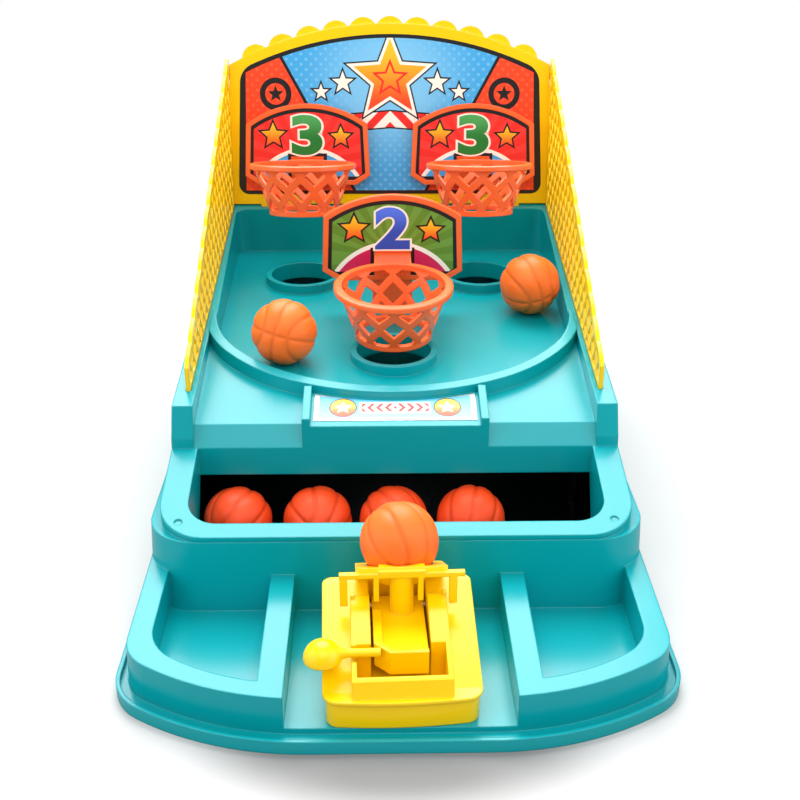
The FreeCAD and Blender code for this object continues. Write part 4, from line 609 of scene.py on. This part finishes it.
class GAME_OT_board_prints(bpy.types.Operator):
    """Prints the three hoop boards: rays, an arc, stars, a dark border and a raised numeral."""

    bl_idname = "basketball_game.board_prints"
    bl_label = "Board prints"

    def execute(self, context):
        prints, places = context.scene.game_prints, context.scene.game_places
        rear = (places.rear_board, places.rear_board_height, places.panel_lean)
        front = (places.front_board, places.front_board_height, places.front_board_lean)
        boards = (
            ("left", plane_of(*rear, side=-places.board_spread), "3", 1.4, prints.red, prints.sky,
             prints.green),
            ("right", plane_of(*rear, side=places.board_spread), "3", 1.4, prints.red, prints.sky,
             prints.green),
            ("front", plane_of(*front), "2", 1.2, prints.field, prints.pink, prints.blue),
        )
        for name, plane, words, stretch, field, ground, ink in boards:
            self.sheet(prints, name, plane, tuple(field), tuple(ground))
            self.numeral(prints, places, name, plane, words, stretch, tuple(ink))
        return {"FINISHED"}

    def sheet(self, prints, name, plane, field, ground):
        """Rays above a ground with an arc, two stars and a border, all by distances in the board's plane."""
        ray_centre, ray_pitch = 12.0, 0.14
        hill_centre, hill_radius, hill_line = -14.0, 32.3, 2.2
        star_line, slimness = 1.0, 0.46
        half, taper, foot = 30.2, 0.04, 5.0
        chord_half, rise, top, line = 33.4, 11.0, 44.0, 4.6
        corner_half, corner_slope, corner_line = 27.0, 7.6 / 5.0, 6.0
        slot_half, slot_top = 10.8, 17.2
        paint = Paint("board_print_" + name, prints.roughness)
        u, v = sheet_coordinates(paint, plane)
        rays = (v - ray_centre).maths("ARCTAN2", u).maths("PINGPONG", ray_pitch) < ray_pitch / 2
        shade = paint.mix(rays * 0.45, field, scaled(field, 1.5, 0.03))
        far = ring_distance(u, v, (0.0, hill_centre))
        shade = paint.mix(far < hill_radius + hill_line, shade, tuple(prints.white))
        shade = paint.mix(far < hill_radius, shade, ground)
        for out, up, size in ((-18.6, 27.0, 6.6), (18.6, 26.0, 5.6)):
            star = star_distance(u, v, (out, up), size, size * slimness)
            shade = paint.mix(star < star_line, shade, tuple(prints.ink))
            shade = paint.mix(star < 0.1 * star_line, shade,
                              paint.mix(paint.smooth(v, up - size, up + size), tuple(prints.orange),
                                        tuple(prints.sun)))
        centre, radius = arch(chord_half, rise, top)
        arched = ring_distance(u, v, (0.0, centre)) > radius - line
        sides = abs(u) > half - taper * (v - foot)
        corners = abs(u) - corner_half - v * corner_slope > -corner_line
        slot = (abs(u) < slot_half) * (v < slot_top)
        edge = arched.most(sides).most(corners).most(v < line)
        shade = paint.mix(edge.most(slot), shade, tuple(prints.ink))
        give(printed(paint, shade, prints.roughness), "board_print_" + name)

    def numeral(self, prints, places, name, plane, words, stretch, ink):
        """Coloured numeral on a pale one that is grown all round; its colour gets lighter upward."""
        sheet_face, thickness = -0.35 * MM, 0.1 * MM
        digit_share, light_from, light_to = 0.72, 24.0, 38.0
        size = places.numeral_height / digit_share
        centre = (0.0, 27.1 * MM)
        for layer, grown, lift in (("edge", 1.9 * MM, 0.05 * MM), ("face", 1.05 * MM, 0.13 * MM)):
            plate = text_plate(f"numeral_{name}_{layer}", words, size, grown, plane, centre,
                               sheet_face + lift, thickness, stretch)
            paint = Paint(f"numeral_{name}_{layer}", prints.roughness)
            _, v = sheet_coordinates(paint, plane)
            if layer == "face":
                shade = paint.mix(paint.smooth(v, light_from, light_to), ink, scaled(ink, 1.7, 0.06))
            else:
                shade = paint.mix(paint.noise(paint.place(), 300.0), tuple(prints.white),
                                  scaled(prints.white, 0.94))
            printed(paint, shade, prints.roughness)
            plate.data.materials.clear()
            plate.data.materials.append(paint.material)
            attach(plate, "base")


class GAME_OT_front_label(bpy.types.Operator):
    """Prints the label on the block: pale field in a foil border, two discs and a row of chevrons."""

    bl_idname = "basketball_game.front_label"
    bl_label = "Front label"

    def execute(self, context):
        prints = context.scene.game_prints
        low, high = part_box("front_label")
        paint = Paint("front_label", prints.roughness)
        x, y, _ = paint.split(paint.place())
        u, v = x / MM, (y - low[1]) / MM
        depth = (high[1] - low[1]) / MM
        half = (high[0] - low[0]) / 2 / MM
        shade = paint.mix(paint.smooth(v, 0.0, depth), tuple(prints.label), tuple(prints.sky))
        middle, disc_out, disc_radius, disc_line = 8.2, 22.5, 5.5, 0.5
        warm_low, warm_high = 3.0, 13.0
        star_radius, star_inner = 4.0, 1.8
        band_half, band_length, band_edge = 2.7, 14.5, 0.9
        chevron_pitch, chevron_width, chevron_slope = 1.9, 0.85, 0.8
        side_line, foot_line, top_line = 2.0, 1.6, 1.2
        curve_half, curve = 1180.0, 0.0029
        for side in (-1.0, 1.0):
            centre = (side * disc_out, middle)
            disc = ring_distance(u, v, centre)
            warm = paint.mix(paint.smooth(v, warm_low, warm_high), tuple(prints.orange), tuple(prints.sun))
            shade = paint.mix(disc < disc_radius + disc_line, shade, tuple(prints.ink))
            shade = paint.mix(disc < disc_radius, shade, warm)
            star = star_distance(u, v, centre, star_radius, star_inner)
            shade = paint.mix(star < 0.0, shade, tuple(prints.white))
        off = abs(v - middle)
        chevrons = (abs(u) + off * chevron_slope).maths("PINGPONG", chevron_pitch) < chevron_width
        shade = paint.mix((off < band_half + band_edge) * (abs(u) < band_length + band_edge), shade,
                          tuple(prints.white))
        shade = paint.mix((off < band_half) * (abs(u) < band_length) * chevrons, shade, tuple(prints.red))
        border = (abs(u) > half - side_line).most(v < foot_line).most(
            depth - v < top_line + curve * (curve_half - u * u))
        foil = paint.mix(paint.noise(paint.place(), 260.0), scaled(prints.foil, 0.35), tuple(prints.foil))
        shade = paint.mix(border, shade, foil)
        paint.set(Metallic=border * 0.85)
        give(printed(paint, shade, prints.roughness), "front_label")
        return {"FINISHED"}


def seam_profile(value, width):
    """Groove profile across a seam: exp(-(d / w)^2), 1 on the seam and 0 away from it."""
    return np.exp(-(value / width) ** 2)


def ball_points(sizes, centre, turn):
    """Ball surface with seams: radius less a groove along two great circles and two closed side curves."""
    theta = np.linspace(0.0, math.pi, sizes.upward + 1)[1:-1]
    phi = np.linspace(0.0, 2 * math.pi, sizes.around, endpoint=False)
    grid_theta, grid_phi = np.meshgrid(theta, phi, indexing="ij")
    unit = np.stack([np.sin(grid_theta) * np.cos(grid_phi), np.sin(grid_theta) * np.sin(grid_phi),
                     np.cos(grid_theta)], axis=-1).reshape(-1, 3)
    unit = np.vstack([unit, [[0.0, 0.0, 1.0]], [[0.0, 0.0, -1.0]]])
    side_place, side_swing, side_slope, shoulder = 0.58, 0.2, 1.1, 3.2
    seams = unit @ np.array(turn.inverted())[:3, :3].T
    x, y, z = seams.T
    curves = np.abs(np.abs(x) - (side_place + side_swing * (z * z - y * y)))
    nearest = np.minimum(np.minimum(np.abs(x), np.abs(z)), curves / side_slope) * sizes.radius
    groove = seam_profile(nearest, sizes.seam_width)
    crown = seam_profile(nearest, shoulder * sizes.seam_width)
    reach = sizes.radius - sizes.seam_depth * groove - sizes.puff * crown
    return unit * reach[:, None] + np.array(centre), groove


def ball_faces(around, upward):
    """Quads between neighbouring rings, and a fan to each pole."""
    rows = upward - 1
    ring = np.arange(around)
    following = (ring + 1) % around
    starts = (np.arange(rows - 1) * around)[:, None]
    quads = np.stack([starts + ring, starts + around + ring, starts + around + following,
                      starts + following], axis=-1).reshape(-1, 4)
    north, south = rows * around, rows * around + 1
    last = (rows - 1) * around
    top = np.stack([np.full(around, north), ring, following], axis=-1)
    bottom = np.stack([np.full(around, south), last + following, last + ring], axis=-1)
    return quads.tolist() + top.tolist() + bottom.tolist()


class GAME_OT_balls(bpy.types.Operator):
    """Builds the seven balls with moulded seams in place of the plain spheres."""

    bl_idname = "basketball_game.balls"
    bl_label = "Balls"

    def execute(self, context):
        sizes = context.scene.game_balls
        turns = {
            "ball_trough_1": (15, 62, -30),
            "ball_trough_2": (-8, 38, 8),
            "ball_trough_3": (35, -20, 40),
            "ball_trough_4": (24, 8, -12),
            "ball_basin_left": (-16, 12, -14),
            "ball_basin_right": (14, -18, 20),
            "ball_launcher": (30, 24, 28),
        }
        finishes = {"dark": self.finish("ball_dark", tuple(sizes.dark), sizes),
                    "light": self.finish("ball_light", tuple(sizes.light), sizes)}
        faces = ball_faces(sizes.around, sizes.upward)
        for name, angles in turns.items():
            low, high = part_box(name)
            centre = [(a + b) / 2 for a, b in zip(low, high)]
            turn = Matrix.Rotation(math.radians(angles[2]), 4, "Z") \
                @ Matrix.Rotation(math.radians(angles[0]), 4, "X") \
                @ Matrix.Rotation(math.radians(angles[1]), 4, "Y")
            points, groove = ball_points(sizes, centre, turn)
            mesh = bpy.data.meshes.new(name + "_seamed")
            mesh.from_pydata(points.tolist(), [], faces)
            seam = mesh.attributes.new("seam", "FLOAT", "POINT")
            seam.data.foreach_set("value", groove)
            mesh.shade_smooth()
            kind = "dark" if name.startswith("ball_trough") else "light"
            mesh.materials.append(finishes[kind])
            ball = bpy.data.objects.new(name + "_seamed", mesh)
            context.collection.objects.link(ball)
            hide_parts(name)
            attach(ball, name)
        return {"FINISHED"}

    def finish(self, name, base, sizes):
        """Ball plastic: faint pebbles, paler panels, painted shade along the seams and a soft sheen."""
        cloud_scale, roughness, gloss_change = 90.0, 0.38, 0.12
        paint = Paint(name, roughness)
        place = paint.place()
        seam = paint.node("ShaderNodeAttribute", {"attribute_name": "seam"}, output="Fac")
        cloud = paint.noise(place, cloud_scale, 3.0)
        shade = paint.mix(paint.smooth(cloud, 0.3, 0.7), scaled(base, 0.94), scaled(base, 1.05, 0.01))
        # Painted shade: the colour darkens along the seam grooves.
        shade = paint.mix(seam * 0.35, shade, scaled(base, 0.5))
        pebbles = paint.node("ShaderNodeTexVoronoi", {}, {"Vector": place, "Scale": 1.0 / sizes.pebble},
                             output="Distance")
        paint.set(Base_Color=shade, Roughness=roughness + gloss_change * cloud,
                  Specular_IOR_Level=sizes.sheen,
                  Normal=paint.node("ShaderNodeBump", {}, {"Strength": 0.12, "Distance": 0.0002,
                                                           "Height": pebbles}))
        return paint.material


class GAME_OT_stage(bpy.types.Operator):
    """Sets the camera, the lamps, the pale world and the floor."""

    bl_idname = "basketball_game.stage"
    bl_label = "Stage"

    def execute(self, context):
        stage = context.scene.game_stage
        self.camera(context, stage)
        self.lamp(context, "key_lamp", stage.key, size=0.9, place=(-0.05, 0.5, 0.9),
                  aim=(0.0, -0.02, 0.05))
        self.lamp(context, "left_lamp", stage.side, size=1.3, place=(-1.0, -0.35, 0.5),
                  aim=(0.0, 0.0, 0.06))
        self.lamp(context, "right_lamp", stage.side, size=1.3, place=(1.0, -0.35, 0.5),
                  aim=(0.0, 0.0, 0.06))
        self.lamp(context, "front_lamp", stage.front, size=0.8, place=(0.05, -0.7, 1.0),
                  aim=(0.0, 0.0, 0.08))
        self.world(context, stage)
        self.floor(context)
        context.scene.view_settings.view_transform = "Standard"
        return {"FINISHED"}

    def camera(self, context, stage):
        """Camera from its pitch, yaw and roll."""
        data = bpy.data.cameras.new("view")
        data.lens, data.sensor_width = stage.focal, stage.sensor
        data.clip_start, data.clip_end = 0.01, 20.0
        forward = Vector((math.sin(stage.yaw) * math.cos(stage.pitch),
                          math.cos(stage.yaw) * math.cos(stage.pitch), -math.sin(stage.pitch)))
        level = Vector((math.cos(stage.yaw), -math.sin(stage.yaw), 0.0))
        below = forward.cross(level)
        right = level * math.cos(stage.roll) + below * math.sin(stage.roll)
        down = below * math.cos(stage.roll) - level * math.sin(stage.roll)
        matrix = Matrix((right, -down, -forward)).transposed().to_4x4()
        matrix.translation = Vector(stage.camera)
        camera = bpy.data.objects.new("view", data)
        camera.matrix_world = matrix
        context.collection.objects.link(camera)
        context.scene.camera = camera

    def lamp(self, context, name, power, size, place, aim):
        """Square soft lamp that faces a point."""
        data = bpy.data.lights.new(name, "AREA")
        data.shape, data.size, data.energy = "SQUARE", size, power
        lamp = bpy.data.objects.new(name, data)
        lamp.location = place
        lamp.rotation_euler = (Vector(place) - Vector(aim)).to_track_quat("Z", "Y").to_euler()
        context.collection.objects.link(lamp)

    def world(self, context, stage):
        """Pale surroundings, white where the camera or a reflection sees them."""
        world = bpy.data.worlds.new("surroundings")
        context.scene.world = world
        world.use_nodes = True
        tree = world.node_tree
        background = tree.nodes["Background"]
        path = tree.nodes.new("ShaderNodeLightPath")
        seen = tree.nodes.new("ShaderNodeMath")
        seen.operation = "MAXIMUM"
        tree.links.new(path.outputs["Is Camera Ray"], seen.inputs[0])
        tree.links.new(path.outputs["Is Transmission Ray"], seen.inputs[1])
        strength = tree.nodes.new("ShaderNodeMapRange")
        tree.links.new(seen.outputs[0], strength.inputs["Value"])
        strength.inputs["To Min"].default_value = stage.world
        strength.inputs["To Max"].default_value = 1.0
        tree.links.new(strength.outputs[0], background.inputs["Strength"])
        background.inputs["Color"].default_value = (1.0, 1.0, 1.0, 1.0)

    def floor(self, context):
        """Level white floor at height 0 with the object's soft shadow and a painted shadow: a darker ellipse
        by its front.
        """
        reach, glow_level = 0.62, 0.02
        pale, painted_shadow, unseen = (0.56, 0.56, 0.56), (0.24, 0.24, 0.24), (0.3, 0.3, 0.3)
        shadow_half, shadow_depth, shadow_back = 0.08, 0.038, 0.006
        mesh = bpy.data.meshes.new("floor")
        mesh.from_pydata([(-reach, -reach, 0.0), (reach, -reach, 0.0), (reach, reach, 0.0),
                          (-reach, reach, 0.0)], [], [(0, 1, 2, 3)])
        floor = bpy.data.objects.new("floor", mesh)
        context.collection.objects.link(floor)
        paint = Paint("floor", 0.6)
        tree = paint.tree
        path = tree.nodes.new("ShaderNodeLightPath")
        glow = tree.nodes.new("ShaderNodeEmission")
        glow.inputs["Strength"].default_value = glow_level
        seen = tree.nodes.new("ShaderNodeMixShader")
        dark = tree.nodes.new("ShaderNodeBsdfDiffuse")
        x, y, _ = paint.split(paint.place())
        # Painted shadow: the floor's colour darkens in an ellipse just in front of the object's front edge.
        front_edge = CAD_BOX[0][1]
        painted_shadow_ellipse = ring_distance(x / shadow_half, (y - front_edge - shadow_back) / shadow_depth, (0.0, 0.0))
        shade = paint.mix(paint.smooth(painted_shadow_ellipse, 0.5, 1.05), painted_shadow, pale)
        tree.links.new(shade.socket, dark.inputs["Color"])
        both = tree.nodes.new("ShaderNodeAddShader")
        paint.set(Base_Color=unseen, Specular_IOR_Level=0.1)
        tree.links.new(glow.outputs[0], both.inputs[0])
        tree.links.new(dark.outputs[0], both.inputs[1])
        tree.links.new(path.outputs["Is Camera Ray"], seen.inputs[0])
        tree.links.new(paint.shader.outputs[0], seen.inputs[1])
        tree.links.new(both.outputs[0], seen.inputs[2])
        tree.links.new(seen.outputs[0], tree.nodes["Material Output"].inputs["Surface"])
        mesh.materials.append(paint.material)


STEPS = (
    GAME_OT_teal_mouldings,
    GAME_OT_yellow_pieces,
    GAME_OT_hoops,
    GAME_OT_steel_pieces,
    GAME_OT_panel_print,
    GAME_OT_board_prints,
    GAME_OT_front_label,
    GAME_OT_balls,
    GAME_OT_stage,
)


class GAME_PT_sidebar(bpy.types.Panel):
    """Sidebar with the sizes, the colours and one button for each group of pieces."""

    bl_idname = "GAME_PT_sidebar"
    bl_label = "Basketball game"
    bl_space_type = "VIEW_3D"
    bl_region_type = "UI"
    bl_category = "Basketball game"

    def draw(self, context):
        for step in STEPS:
            self.layout.operator(step.bl_idname)
        for name in GROUPS:
            box = self.layout.box()
            group = getattr(context.scene, name)
            for key in group.bl_rna.properties.keys():
                if key not in ("rna_type", "name"):
                    box.prop(group, key)


GROUPS = {
    "game_plastics": GamePlastics,
    "game_balls": GameBalls,
    "game_prints": GamePrints,
    "game_places": GamePlaces,
    "game_stage": GameStage,
}


def register():
    """Registers the groups, the operators and the panel."""
    for name, group in GROUPS.items():
        bpy.utils.register_class(group)
        setattr(bpy.types.Scene, name, PointerProperty(type=group))
    for step in STEPS:
        bpy.utils.register_class(step)
    bpy.utils.register_class(GAME_PT_sidebar)


def unregister():
    """Takes back what register added."""
    bpy.utils.unregister_class(GAME_PT_sidebar)
    for step in reversed(STEPS):
        bpy.utils.unregister_class(step)
    for name, group in GROUPS.items():
        delattr(bpy.types.Scene, name)
        bpy.utils.unregister_class(group)


def main():
    """Builds every piece in order."""
    register()
    for step in STEPS:
        area, action = step.bl_idname.split(".")
        getattr(getattr(bpy.ops, area), action)()


if __name__ == "__main__":
    main()
